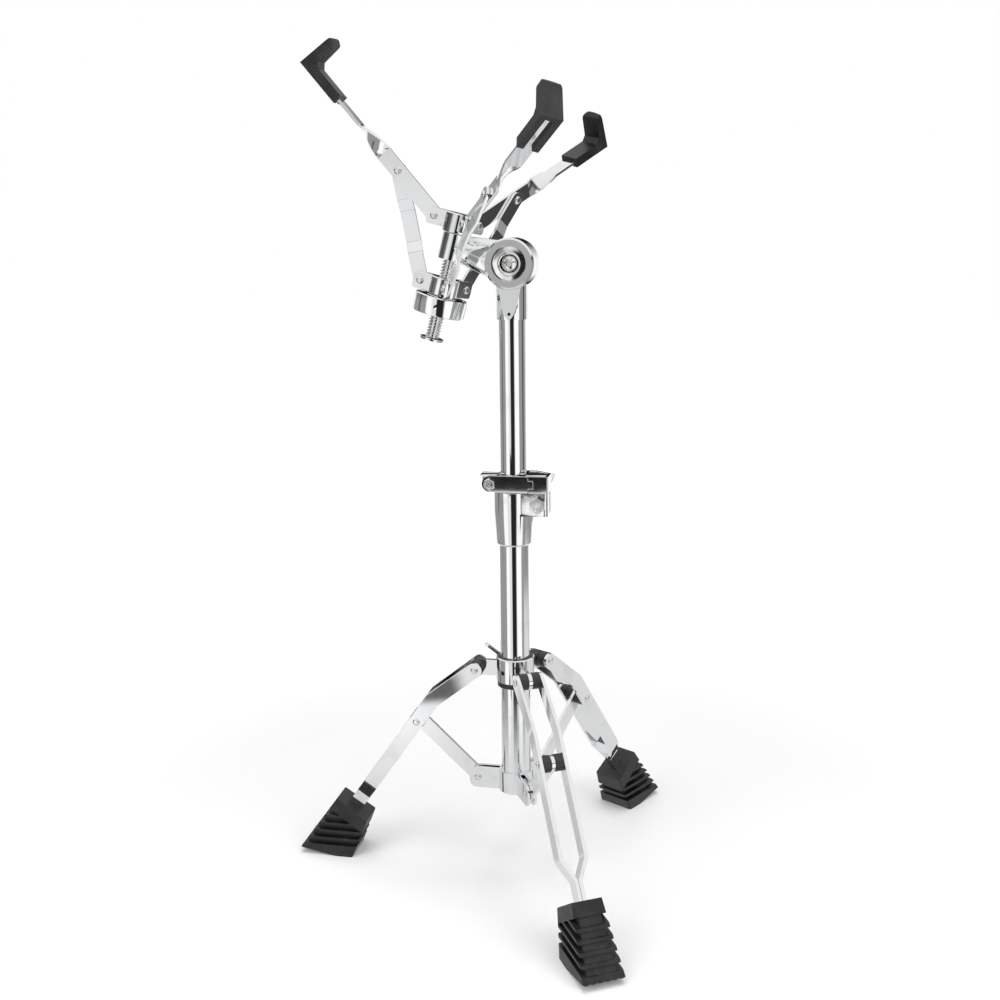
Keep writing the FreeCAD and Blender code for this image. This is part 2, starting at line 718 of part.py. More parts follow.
def upper_tube():
    """Inner tube of the pole, with a cross hole for the socket's pin."""
    tube = ring_z(upper_tube_radius, upper_tube_bore, upper_tube_foot, upper_tube_top)
    pin_height = socket_foot + socket_pin_rise
    hole = rod_y(socket_pin_dia / 2 + press_gap, -upper_tube_dia, upper_tube_dia, 0, pin_height)
    return tube.cut(hole)


def tube_guide():
    """Nylon guide that runs in the lower tube and carries the upper tube on its spigot."""
    rim = upper_tube_foot - side_clearance
    seat = Vector(0, 0, rim - guide_flange)
    flange = Part.makeCylinder(lower_tube_bore - slide_clearance, guide_flange, seat)
    spigot = Part.makeCylinder(upper_tube_bore - turn_clearance, guide_spigot + guide_flange, seat)
    guide = fuse_all([flange, spigot])
    return guide.cut(Part.makeCylinder(guide_bore_dia / 2, 4 * guide_flange + guide_spigot,
                                       Vector(0, 0, rim - 2 * guide_flange)))


def tilter_socket():
    """Casting on the upper tube: round foot with flat facets, a cradle and the rear disc."""
    corners = [Vector(0, 0, socket_foot), Vector(socket_foot_dia / 2, 0, socket_foot)]
    corners += [Vector(socket_top_dia / 2, 0, upper_tube_top), Vector(socket_top_dia / 2, 0, disc_height)]
    corners += [Vector(0, 0, disc_height)]
    half_section = Part.Face(Part.makePolygon(corners + corners[:1]))
    body = half_section.revolve(Vector(0, 0, 0), Vector(0, 0, 1), 360)
    low = socket_foot + facet_foot
    high = disc_height + disc_dia
    near = socket_foot_dia / 2
    far = near - facet_lean * (high - low)
    wedge = [Vector(-disc_dia, -near, low), Vector(-disc_dia, -far, high)]
    wedge += [Vector(-disc_dia, -2 * disc_dia, high), Vector(-disc_dia, -2 * disc_dia, low)]
    facet = Part.Face(Part.makePolygon(wedge + wedge[:1])).extrude(Vector(2 * disc_dia, 0, 0))
    body = body.cut(facet).cut(facet.mirror(Vector(0, 0, 0), Vector(0, 1, 0)))
    parting = disc_split + side_clearance
    rear_disc = rod_y(disc_dia / 2, parting, disc_back, 0, disc_height)
    rear_disc = rear_disc.makeChamfer(disc_edge, rim_at(rear_disc, disc_back))
    socket = fuse_all([body, rear_disc])
    socket = socket.cut(rod_y(disc_dia / 2 + cradle_gap, -disc_dia, parting, 0, disc_height))
    tube_room = upper_tube_top - socket_foot
    bore = Part.makeCylinder(upper_tube_radius + press_gap, tube_room, Vector(0, 0, socket_foot))
    socket = socket.cut(bore)
    socket = socket.cut(rod_y(tilter_bolt_dia / 2 + press_gap, -disc_dia, disc_dia, 0, disc_height))
    pin_hole = rod_y(socket_pin_dia / 2 + press_gap, -disc_dia, disc_dia, 0, socket_foot + socket_pin_rise)
    return socket.cut(pin_hole)


def socket_pin():
    """Cross pin that holds the socket on the upper tube."""
    return rod_y(socket_pin_dia / 2, -socket_pin_half, socket_pin_half, 0, socket_foot + socket_pin_rise)


def tilter_bolt():
    """Button-head bolt through both discs."""
    seat = disc_front + disc_recess_depth + disc_dish_depth - side_clearance
    peak = seat - tilter_head_height
    dome = round_head(tilter_head_dia / 2, seat, peak)
    shank = rod_y(tilter_bolt_dia / 2, seat - tilter_head_height / 4, disc_back + tilter_bolt_tail, 0, 0)
    key = hexagon_y(tilter_key_flats, peak - cut_margin, peak + tilter_key_depth, 0, 0)
    bolt = fuse_all([dome, shank]).cut(key)
    bolt.translate(Vector(0, 0, disc_height))
    return bolt


def tilter_wing_nut():
    """Wing nut on the tilter bolt, with upright wings."""
    return wing_nut(tilter_bolt_dia / 2 + turn_clearance, 0, disc_back + side_clearance, disc_height, 0)


# Basket geometry about the rod: built upright with the arm pivots at z = 0, then set on the boss

def boss_centre():
    """Centre of the tilter arm's boss."""
    angle = math.radians(arm_rise_angle)
    return Vector(-arm_length * math.cos(angle), 0, disc_height + arm_length * math.sin(angle))


def on_basket(shape):
    """Move a shape from the upright rod frame to the leaning rod."""
    placed = shape.copy()
    placed.translate(Vector(0, 0, hub_pivot_rise))
    placed.rotate(Vector(0, 0, 0), Vector(0, 1, 0), basket_lean)
    placed.translate(boss_centre())
    return placed


def arm_section(along, half_height, half_thickness, middle_y):
    """Oval section of the tilter arm, square to its length."""
    angle = math.radians(arm_rise_angle)
    centre = Vector(-along * math.cos(angle), middle_y, disc_height + along * math.sin(angle))
    tall = Vector(math.sin(angle), 0, math.cos(angle)) * half_height
    wide = Vector(0, half_thickness, 0)
    return Part.Wire([Part.Ellipse(centre + tall, centre + wide, centre).toShape()])


def tilter_arm():
    """Casting with the front disc, the tapered arm and the boss for the rod."""
    disc = rod_y(disc_dia / 2, disc_front, disc_split, 0, disc_height)
    disc = disc.makeChamfer(disc_edge, rim_at(disc, disc_front))
    middle = (disc_front + disc_split) / 2
    thick = min(arm_half_thickness, (disc_split - disc_front) / 2)
    sections = [arm_section(arm_root, arm_root_half_height, thick, middle)]
    sections.append(arm_section(arm_waist, arm_waist_half_height, thick, middle))
    sections.append(arm_section(arm_length, arm_boss_half_height, arm_boss_half_thickness, 0))
    taper = Part.makeLoft(sections, True, True)
    boss = Part.makeCylinder(boss_dia / 2, boss_height, Vector(0, 0, -hub_drop - boss_height))
    arm = fuse_all([disc, taper, on_basket(boss)])
    hub_seat = Part.makeCylinder(hub_dia / 2 + side_clearance, boss_height, Vector(0, 0, -hub_drop))
    arm = arm.cut(on_basket(hub_seat))
    floor = disc_front + disc_recess_depth
    arm = arm.cut(rod_y(disc_recess_dia / 2, disc_front - disc_edge, floor, 0, disc_height))
    dish = Part.makeCone(disc_recess_dia / 2 - disc_edge, disc_dish_dia / 2, disc_dish_depth,
                         Vector(0, floor, disc_height), Vector(0, 1, 0))
    arm = arm.cut(dish)
    bolt_bore = tilter_bolt_dia / 2 + turn_clearance
    arm = arm.cut(rod_y(bolt_bore, 2 * disc_front, 2 * disc_split, 0, disc_height))
    rod_hole = Part.makeCylinder(rod_dia / 2 + press_gap, 2 * rod_length, Vector(0, 0, -rod_length))
    return arm.cut(on_basket(rod_hole))


def threaded_rod():
    """Basket rod, with a slim tip below."""
    shoulder = Vector(0, 0, rod_foot + rod_tip_length)
    rod = Part.makeCylinder(rod_dia / 2, rod_length - rod_tip_length, shoulder)
    tip = Part.makeCylinder(rod_tip_dia / 2, rod_tip_length + rod_dia, Vector(0, 0, rod_foot))
    return on_basket(fuse_all([rod, tip]))


def end_disc():
    """Disc on the rod's end that keeps the ring nut on."""
    high = rod_foot + rod_tip_length
    disc = ring_z(end_disc_dia / 2, rod_tip_dia / 2 + press_gap, high - end_disc_thickness, high)
    return on_basket(disc)


def clevis_hub(low, high, pivot_height, ear_middle, slot_width, bore_radius):
    """Round hub on the rod with a pair of ears for each arm."""
    body = Part.makeCylinder(hub_dia / 2, high - low, Vector(0, 0, low))
    body = body.makeChamfer(hub_edge, [edge for edge in body.Edges if len(edge.Vertexes) == 1])
    half = slot_width / 2 + hub_ear_thickness
    ear_reach = basket_pivot_radius + hub_ear_overhang
    ears = strap_y([(0, pivot_height), (ear_reach, pivot_height)], hub_ear_width,
                   ear_middle - half, ear_middle + half, square_end=True)
    span = Part.makeBox(4 * hub_dia, slot_width, 4 * hub_ear_width,
                        Vector(hub_dia / 2, ear_middle - slot_width / 2, pivot_height - 2 * hub_ear_width))
    ears = ears.common(Part.makeBox(4 * hub_dia, 4 * hub_dia, high - low, Vector(0, -2 * hub_dia, low)))
    corners = []
    for edge in ears.Edges:
        ends = [vertex.Point for vertex in edge.Vertexes]
        if min(end.x for end in ends) > ear_reach - coincident and abs(ends[0].y - ends[-1].y) > slot_width:
            corners.append(edge)
    ears = ears.makeFillet(hub_ear_corner, corners)
    hole = rod_y(rivet_dia / 2 + press_gap, -hub_dia, hub_dia, basket_pivot_radius, pivot_height)
    pieces = [body]
    cuts = [Part.makeCylinder(bore_radius, 4 * (high - low), Vector(0, 0, low - (high - low)))]
    for azimuth in arm_azimuths.values():
        pieces.append(about_pole(ears, azimuth))
        cuts += [about_pole(span, azimuth), about_pole(hole, azimuth)]
    hub = fuse_all(pieces)
    for cut in cuts:
        hub = hub.cut(cut)
    return on_basket(hub)


def link_middle():
    """Side offset of the links' ends from the arms' plane."""
    return -(arm_thickness / 2 + side_clearance + link_thickness / 2)


def upper_hub():
    """Fixed hub that carries the arms."""
    slot = arm_thickness + 2 * side_clearance
    return clevis_hub(-hub_drop, hub_top, 0, 0, slot, rod_dia / 2 + press_gap)


def lower_hub():
    """Hub that slides on the rod and pushes the links."""
    slot = link_thickness + 2 * side_clearance
    low = -link_pivot_drop - lower_hub_drop
    high = -link_pivot_drop + lower_hub_rise
    return clevis_hub(low, high, -link_pivot_drop, link_middle(), slot, rod_dia / 2 + slide_clearance)


def hub_rivets(pivot_height, middle, slot_width):
    """Pivot rivets of one hub."""
    half = slot_width / 2 + hub_ear_thickness
    rivet = rivet_y(basket_pivot_radius, pivot_height, middle - half, middle + half)
    return [on_basket(about_pole(rivet, azimuth)) for azimuth in arm_azimuths.values()]


def ring_nut():
    """Round nut under the lower hub."""
    high = -link_pivot_drop - lower_hub_drop - side_clearance
    low = high - ring_nut_height
    radius = ring_nut_dia / 2
    nut = Part.makeCylinder(radius, ring_nut_height, Vector(0, 0, low))
    nut = nut.makeChamfer(ring_nut_edge, [edge for edge in nut.Edges if len(edge.Vertexes) == 1])
    nut = nut.cut(Part.makeCylinder(rod_dia / 2 + slide_clearance, 2 * ring_nut_height,
                                    Vector(0, 0, low - ring_nut_height / 2)))
    return on_basket(nut)


def arm_point(along, above=0.0):
    """Point in an arm's plane, measured from its pivot along the arm and off its centre line."""
    angle = math.radians(arm_angle)
    x = basket_pivot_radius + along * math.cos(angle) - above * math.sin(angle)
    z = along * math.sin(angle) + above * math.cos(angle)
    return x, z


def arm_rectangle(along, twist):
    """Section of an arm, turned about its length."""
    x, z = arm_point(along)
    centre = Vector(x, 0, z)
    angle = math.radians(arm_angle)
    upward = Vector(-math.sin(angle), 0, math.cos(angle))
    sideways = Vector(0, 1, 0)
    turn = math.radians(twist)
    wide = (upward * math.cos(turn) + sideways * math.sin(turn)) * (arm_width / 2)
    thick = (sideways * math.cos(turn) - upward * math.sin(turn)) * (arm_thickness / 2)
    corners = [centre + wide + thick, centre - wide + thick, centre - wide - thick, centre + wide - thick]
    return Part.makePolygon(corners + corners[:1])


def basket_arm():
    """Flat arm with a quarter twist, so that its end lies flat under the rubber tip."""
    sections = [arm_rectangle(0, 0)]
    for step in range(twist_steps + 1):
        share = step / twist_steps
        along = twist_start + (twist_end - twist_start) * share
        sections.append(arm_rectangle(along, twist_angle * share))
    sections.append(arm_rectangle(tip_start + tip_length - strap_end_gap, twist_angle))
    strap = Part.makeLoft(sections, True, True)
    root = rod_y(arm_width / 2, -arm_thickness / 2, arm_thickness / 2, basket_pivot_radius, 0)
    arm = fuse_all([strap, root])
    hole = rod_y(rivet_dia / 2 + turn_clearance, -arm_width, arm_width, basket_pivot_radius, 0)
    link_x, link_z = arm_point(arm_link_reach)
    link_hole = rod_y(rivet_dia / 2 + press_gap, -arm_width, arm_width, link_x, link_z)
    return arm.cut(hole).cut(link_hole)


def arm_rivet():
    """Rivet that joins an arm and its link."""
    x, z = arm_point(arm_link_reach)
    return rivet_y(x, z, link_middle() - link_thickness / 2 - side_clearance, arm_thickness / 2)


def link_span():
    """End points of a link, arm end first, and its length."""
    xa, za = arm_point(arm_link_reach)
    xb, zb = basket_pivot_radius, -link_pivot_drop
    return (xa, za), (xb, zb), math.hypot(xb - xa, zb - za)


def basket_link():
    """Flat link with two joggles, beside the arm at one end and in the lower hub's ears at the other."""
    (xa, za), (xb, zb), length = link_span()
    flat = strap_y([(xa, za), (xb, zb)], link_width, -link_width, link_width)
    side = link_middle()
    first, second, third, fourth = link_bends
    centre = [(-link_width, side), (first, side), (second, side - link_step)]
    centre += [(third, side - link_step), (fourth, side), (length + link_width, side)]
    half = link_thickness / 2
    plan = [(along, offset + half) for along, offset in centre]
    plan += [(along, offset - half) for along, offset in reversed(centre)]
    run, fall = (xb - xa) / length, (zb - za) / length
    corners = []
    for along, offset in plan:
        x = xa + run * along + fall * link_width
        z = za + fall * along - run * link_width
        corners.append(Vector(x, offset, z))
    depth = Vector(-fall, 0, run) * (2 * link_width)
    band = Part.Face(Part.makePolygon(corners + corners[:1])).extrude(depth)
    link = flat.common(band)
    link = link.cut(rod_y(rivet_dia / 2 + open_pivot_clearance, -link_width, link_width, xa, za))
    link = link.cut(rod_y(rivet_dia / 2 + turn_clearance, -link_width, link_width, xb, zb))
    return link.Solids[0]


def rubber_tip():
    """L-shaped rubber tip with a channel along its back that shows the arm."""
    corner = tip_start + tip_length
    thick = tip_half_thickness
    inner_foot = corner - tip_foot_thickness
    top_outer = corner - tip_lean
    top_inner = top_outer - tip_top_thickness
    outline = [arm_point(tip_start, -thick), arm_point(corner, -thick)]
    outline += [arm_point(top_outer, tip_upright - tip_top_thickness / 2)]
    outline += [arm_point(top_inner + tip_top_thickness / 2, tip_upright)]
    outline += [arm_point(top_inner, tip_upright - tip_top_thickness / 2)]
    outline += [arm_point(inner_foot, 2 * thick), arm_point(inner_foot - thick, thick)]
    outline += [arm_point(tip_start, thick)]
    block = prism_y(outline, -tip_half_width, tip_half_width)
    round_axis = arm_point(corner - 4 * tip_foot_thickness, tip_upright - tip_round)
    angle = math.radians(arm_angle)
    along = Vector(math.cos(angle), 0, math.sin(angle))
    upward = Vector(-math.sin(angle), 0, math.cos(angle))
    start = Vector(round_axis[0], 0, round_axis[1])
    reach = 8 * tip_foot_thickness
    rounds = []
    for side in (1, -1):
        centre = start + Vector(0, side * (tip_half_width - tip_round), 0)
        rounds.append(Part.makeCylinder(tip_round, reach, centre, along))
    inner = tip_half_width - tip_round
    foot = start - upward * (4 * tip_upright)
    width = Vector(0, 1, 0)
    lower = [foot - width * tip_half_width, foot + width * tip_half_width]
    lower += [start + width * tip_half_width, start - width * tip_half_width]
    rounds.append(Part.Face(Part.makePolygon(lower + lower[:1])).extrude(along * reach))
    crown = [start - width * inner, start + width * inner]
    crown += [start + width * inner + upward * tip_round, start - width * inner + upward * tip_round]
    rounds.append(Part.Face(Part.makePolygon(crown + crown[:1])).extrude(along * reach))
    upright = fuse_all(rounds)
    low_leg = [arm_point(tip_start - thick, -2 * thick), arm_point(inner_foot - 2 * thick, -2 * thick)]
    low_leg += [arm_point(inner_foot - 2 * thick, 2 * thick), arm_point(tip_start - thick, 2 * thick)]
    outline_room = upright.fuse(prism_y(low_leg, -tip_half_width, tip_half_width))
    tip = block.common(outline_room).removeSplitter()
    slot_end = corner - tip_slot_end
    mouth = tip_start - cut_margin
    slot = [arm_point(mouth, -2 * thick), arm_point(slot_end, -2 * thick)]
    slot += [arm_point(slot_end, 0), arm_point(mouth, 0)]
    tip = tip.cut(prism_y(slot, -tip_slot_half_width, tip_slot_half_width))
    half = arm_thickness / 2 + tip_pocket_gap
    deep = corner - strap_end_gap + tip_pocket_gap
    pocket = [arm_point(mouth, -half), arm_point(deep, -half)]
    pocket += [arm_point(deep, half), arm_point(mouth, half)]
    side = arm_width / 2 + tip_pocket_gap
    return tip.cut(prism_y(pocket, -side, side)).Solids[0]


def build_tripod():
    """Write the base: tube, bracket, collar and the three legs."""
    save("lower_tube", lower_tube())
    save("bottom_bracket", bottom_bracket())
    save("bracket_rivets", *bracket_rivets())
    save("leg_collar", leg_collar())
    save("collar_bush", collar_bush())
    save("collar_wing_bolt", collar_wing_bolt())
    pieces = {"leg_straps": leg_straps(), "leg_bushes": leg_bushes(), "leg_rivets": leg_rivets()}
    pieces["brace"] = [brace()]
    pieces["foot"] = [foot()]
    for leg, azimuth in leg_azimuths.items():
        for name, solids in pieces.items():
            save(leg + "_" + name, *[about_pole(solid, azimuth) for solid in solids])


def build_pole():
    """Write the height sleeve, its clamp, the memory lock and the upper tube."""
    save("height_sleeve", height_sleeve())
    save("sleeve_bush", sleeve_bush())
    save("clamp_bolt", clamp_bolt())
    save("clamp_wing_nut", clamp_wing_nut())
    save("lock_front_jaw", lock_front_jaw())
    save("lock_rear_jaw", lock_rear_jaw())
    save("lock_screw", lock_screw())
    save("lock_nut", lock_nut())
    save("upper_tube", upper_tube())
    save("tube_guide", tube_guide())


def build_tilter():
    """Write the tilter's socket, arm and fasteners."""
    save("tilter_socket", tilter_socket())
    save("socket_pin", socket_pin())
    save("tilter_bolt", tilter_bolt())
    save("tilter_wing_nut", tilter_wing_nut())
    save("tilter_arm", tilter_arm())


def build_basket():
    """Write the rod, hubs, arms, links and rubber tips."""
    save("threaded_rod", threaded_rod())
    save("rod_end_disc", end_disc())
    save("upper_hub", upper_hub())
    save("lower_hub", lower_hub())
    save("upper_hub_rivets", *hub_rivets(0, 0, arm_thickness + 2 * side_clearance))
    link_slot = link_thickness + 2 * side_clearance
    save("lower_hub_rivets", *hub_rivets(-link_pivot_drop, link_middle(), link_slot))
    save("ring_nut", ring_nut())
    pieces = {"arm": basket_arm(), "arm_rivet": arm_rivet(), "link": basket_link(), "tip": rubber_tip()}
    for arm, azimuth in arm_azimuths.items():
        for name, solid in pieces.items():
            save(arm + "_basket_" + name, on_basket(about_pole(solid, azimuth)))


os.makedirs("parts", exist_ok=True)
build_tripod()
build_pole()
build_tilter()
build_basket()
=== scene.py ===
"""Snare drum stand in a white studio: chromed tripod, pole, tilter and basket, with rubber feet and tips."""
import bpy
import json
import math
from mathutils import Matrix, Vector


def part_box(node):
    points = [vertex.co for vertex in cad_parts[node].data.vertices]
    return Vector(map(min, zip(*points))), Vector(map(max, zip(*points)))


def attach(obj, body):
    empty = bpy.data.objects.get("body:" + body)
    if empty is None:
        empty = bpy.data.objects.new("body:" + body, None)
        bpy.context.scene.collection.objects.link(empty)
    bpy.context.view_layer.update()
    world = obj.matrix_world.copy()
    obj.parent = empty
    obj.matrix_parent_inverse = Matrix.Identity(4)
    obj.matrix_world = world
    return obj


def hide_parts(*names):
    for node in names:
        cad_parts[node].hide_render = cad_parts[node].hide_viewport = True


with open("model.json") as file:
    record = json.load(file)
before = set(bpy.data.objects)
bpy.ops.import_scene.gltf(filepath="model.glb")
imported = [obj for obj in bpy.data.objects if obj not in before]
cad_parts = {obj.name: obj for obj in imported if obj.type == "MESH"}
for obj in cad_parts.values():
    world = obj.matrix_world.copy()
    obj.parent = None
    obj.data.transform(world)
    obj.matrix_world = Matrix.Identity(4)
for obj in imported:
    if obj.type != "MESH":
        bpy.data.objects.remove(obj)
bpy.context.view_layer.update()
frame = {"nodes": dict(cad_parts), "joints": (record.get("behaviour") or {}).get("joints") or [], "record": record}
MM = 0.001
LEG_TURNS = {"left": 0.0, "front": 120.0, "rear": -120.0}    # degrees about the pole from the left leg

# Camera of the photograph, worked out from the stand's own sizes
CAMERA_AZIMUTH = 11.0        # degrees from -Y towards +X
CAMERA_DISTANCE = 0.9937     # level distance to the pole axis
CAMERA_HEIGHT = 0.5503
CAMERA_PITCH = 12.33         # degrees down
CAMERA_TURN = 0.66           # degrees to its left
CAMERA_ROLL = -0.70
FOCAL_PIXELS = 1212.9
PHOTO_PIXELS = 1000.0
SENSOR = 36.0
NEAREST_SEEN = 0.01

# Lamps and room, in metres and watts
LAMP_SPREAD = 48.0           # degrees each side of the camera
LAMP_DISTANCE = 1.9
LAMP_HEIGHT = 1.5
LAMP_SIZE = 1.3
LAMP_POWER = 15.0
LAMP_TARGET = (0, 0, 0.3)
TOP_SIZE = 2.0
TOP_HEIGHT = 2.2
TOP_POWER = 35.0
WORLD_LEVEL = 0.20           # light from all round
FLOOR_SIZE = 14.0
ROOM_RADIUS = 9.0

# What mirrors see round the stand: a stretch's ends in degrees to the camera's right, and its softness
WALL_LEVEL = 0.34
RIGHT_PANEL = (18, 56, 3)
RIGHT_PANEL_LEVEL = 0.8
LEFT_PANEL = (-62, -18, 1)
LEFT_PANEL_LEVEL = 0.54
LEFT_MIDDLE = (-60, -37, 5)  # brighter part of the left panel
LEFT_MIDDLE_LEVEL = 0.26
FRONT_GAP = (-16, 13, 1.5)   # dark, behind the camera
FRONT_GAP_SHADE = 0.94
BACK_PANEL = (138, 166, 3)   # one on either side
BACK_PANEL_LEVEL = 0.7
BACK_GAP = (169, 172)        # dark behind the stand, fading in between these
BACK_GAP_SHADE = 0.9
RIGHT_SEAM = (91, 105, 3)    # dark joins of the walls
LEFT_SEAM = (-99, -92, 3)
SEAM_SHADE = 0.82

# Room's walls and ceiling as mirrors see them, by turn and rise in degrees
CEILING_EDGE = (19, 28)
CEILING_LEVEL = 0.95
WALL_FADE = (4, 16)          # walls darken upwards between these
WALL_FADE_SHADE = 0.7
LOW_CARD_TURN = (-24.3, -19.7, 0.4)     # dark card at the foot of the wall
LOW_CARD_RISE = (-0.6, 4.2, 0.5)
LOW_CARD_SHADE = 0.5
HIGH_PANEL_TURN = (-30, -15, 1.5)       # lit panel above it
HIGH_PANEL_RISE = (11, 25, 1.5)
HIGH_PANEL_LEVEL = 0.45

# Floor, by turn in degrees and distance from the pole in metres
FLOOR_ROUGHNESS = 0.9
FLOOR_NEAR_TONE = 0.86
FLOOR_FAR_TONE = 0.60
FLOOR_FADE = (0.35, 1.1)     # from the near tone to the far one, which is plain white to the camera
FLOOR_LIFT = 0.13            # floor's own light to the camera close to the stand
PAPER_LEVEL = 0.78           # white paper under the stand, as mirrors see it
PAPER_FADE = (0.16, 0.46)    # it fades out between these
LONG_PAPER_TURN = (75, 130, 5)          # it reaches further on the right
LONG_PAPER_FADE = (0.7, 1.0)
FLOOR_CARD_TURN = (-29, -15, 1)         # dark card
FLOOR_CARD_REACH = (1.575, 2.1, 0.02)
FLOOR_CARD_SHADE = 0.99
FLOOR_SHINE_TURN = (-23.5, -17.5, 0.6)  # bright strip on the stand's side of the card
FLOOR_SHINE_REACH = (1.33, 1.55, 0.02)
FLOOR_SHINE_LEVEL = 0.4
PAINTED_PAPER_SHADE_TURN = (-175, -62, 8)       # painted shade: paper is a little darker here, close to the pole, as mirrors see it
PAINTED_PAPER_SHADE_FADE = (0.13, 0.2)
PAINTED_PAPER_SHADE = 0.22
SEAM_FADE = (0.9, 1.5)       # where the joins of the walls begin on the floor
ELBOW_PATCH_TURN = (-37.5, -30, 1.5)    # dark patch that the left leg's elbow mirrors
ELBOW_PATCH_REACH = (0.42, 0.51, 0.015)
ELBOW_PATCH_SHADE = 0.85

# Modelling
MERGE_GAP = 0.00001          # metres, within which a new piece's points become one
WELD_GAP = 0.000002          # metres, the same for a CAD node
FLAT_ANGLE = 0.6             # degrees, within which a CAD node's faces become one
SMOOTH_ANGLE = 32            # degrees, past which a new piece's edge looks sharp

# Rounded edges of the CAD nodes: width in millimetres, segments and least angle in degrees
EDGES_BY_ENDING = {
    "_foot": (0.9, 3, 35), "_tip": (1.3, 4, 35), "rivets": (0.95, 4, 35), "rivet": (0.95, 4, 35),
    "_straps": (0.6, 3, 9), "_link": (0.3, 2, 9), "_brace": (0.3, 2, 9)}
CAST_EDGES = (0.5, 3, 35)
OTHER_EDGES = (0.3, 2, 35)
CASTINGS = ("leg_collar", "height_sleeve", "tilter_socket", "tilter_arm", "upper_hub", "lower_hub")
LEFT_SHARP = ("lower_tube", "upper_tube", "threaded_rod", "ring_nut", "lock_nut", "lock_screw", "socket_pin")

# Rod and its thread, in millimetres above the arm pivots
ROD_TOP = 5.0
ROD_FOOT = -99.0
ROD_SHOULDER = -96.0
ROD_RADIUS = 6.0
ROD_TIP_RADIUS = 3.0
ROD_TIP_CHAMFER = 0.6
ROD_TOP_CHAMFER = 0.8
THREAD_PITCH = 2.5
THREAD_CREST = THREAD_PITCH / 8         # flat top of the ridge
THREAD_FLANK = THREAD_PITCH * 3 / 8     # height of each of its slopes
THREAD_SPARE_TURNS = 3       # cut off again at the ends
THREAD_ROOT = 4.5
THREAD_SINK = 0.1            # ridge starts this far inside the root
THREAD_END = 0.9             # and ends this far below the rod's top
THREAD_STEPS = 40
NUT_SEAT = -61.0             # lower hub's foot, where the ring nut bears

# Ring nut, in millimetres
RING_RADIUS = 21.5
RING_TOP = -61.25            # above the arm pivots
RING_FOOT = -76.2
RING_BORE = 6.1
RING_WALL = 3.1              # at the bottom of the hollow
RING_HOLLOW = 7.2            # depth of the hollow
RING_SEAT = 12.6             # radius of the seat in its middle, at the seat's foot
RING_FOOT_EDGE = [(1.0, 0.0), (0.3, 0.3), (0.0, 1.0)]               # in from the outside, up from the foot
RING_RIM_EDGE = [(0.0, 0.8), (0.6, 0.0), (2.3, 0.0), (2.8, 0.5)]    # in from the outside, down from the top
RING_SEAT_EDGE = [(0.3, 0.4), (0.7, 0.0)]                           # in from the seat, down from the top
LINING_SIDE_GAP = 0.05       # to the nut's outer wall
LINING_GAP = 0.1             # to the hollow's bottom and the seat
LINING_DROP = 0.7            # below the nut's rim
LINING_THICKNESS = 0.7       # at the bottom
LINING_LIP = 0.6             # thickness at its top edge
LINING_TAPER = 0.2           # that its side gains towards the bottom

# Screw and nut of the memory lock, in millimetres
LOCK_NUT_FLATS = 9.0
LOCK_NUT_HEIGHT = 4.0
LOCK_NUT_CORNERS = 1.2       # turned blank's width as a multiple of the flats
LOCK_NUT_CHAMFER = 0.7       # height of the chamfer at the blank's edge
LOCK_NUT_FACE_INSET = 0.2    # from the flats to the edge of the front face
LOCK_NUT_BORE = 2.4
LOCK_NUT_MOUTH = 3.0         # radius of the bore at the front face
LOCK_NUT_SINK = 0.5          # depth over which the bore widens to it
LOCK_SCREW_RADIUS = 2.2
LOCK_SCREW_CHAMFER = 0.4
LOCK_SCREW_SHORT = 0.1       # its end stays this far inside the nut
LOCK_WELL_DEPTH = 1.6        # of the hollow end
LOCK_WELL_FOOT = 0.9         # its radius at the bottom
LOCK_WELL_MOUTH = 1.2
LOCK_FLANGE_BACK = 18.35     # from the nut's seat to the back of the rear jaw's flange
LOCK_COLLAR_RADIUS = 3.9
LOCK_COLLAR_THICKNESS = 2.0
LOCK_COLLAR_CHAMFER = 0.3
LOCK_KEY = (5.4, 5.4, 4.4)   # square head for a drum key
LOCK_KEY_EDGE = 0.4
LOCK_KEY_MIDDLE = 3.8        # behind the flange

# Lips over the memory lock's rear jaw, in millimetres
LOCK_WALL = 2.5              # plate of the jaws
LIP_THICKNESS = 1.5
LIP_EDGE = 0.3
LIP_DROP = 0.05              # below the jaw's top
LIP_GAP = 0.1                # to the jaw's front and right walls
LIP_TUBE_ROOM = 11.9         # right lip ends this far from the pole axis
LIP_SIDE = 17.0              # right lip's straight side ends this far behind the jaw's front
LIP_SHOULDER = 17.5          # back corner of the right lip along X
LIP_BACK_GAP = 0.6           # to the jaw's back wall
LEFT_LIP_GAP = 0.2           # to the jaw's left end
LEFT_LIP_ROOM = 12.3         # left lip ends this far from the pole axis
LEFT_LIP_BACK = 1.8          # its back edge along Y

# Spring pin of the tilter's socket, in millimetres
PIN_RADIUS = 1.3
PIN_BORE = 0.8
PIN_CHAMFER = 0.2

# Tilter's disc and the raised washer in its recess, in millimetres
DISC_FRONT = -12.0           # its front face along Y
RECESS_DEPTH = 3.2
WASHER_GAP = 0.05            # to the recess's bottom
WASHER_RADIUS = 13.7
WASHER_HOLE = 7.6
WASHER_RIM = 1.2             # thickness at its edge
WASHER_CHAMFER = 0.3
WASHER_CROWN = [(12.2, -1.68), (11.0, -1.42), (9.8, -1.2), (8.9, -1.12), (8.3, -1.3), (WASHER_HOLE, -2.0)]

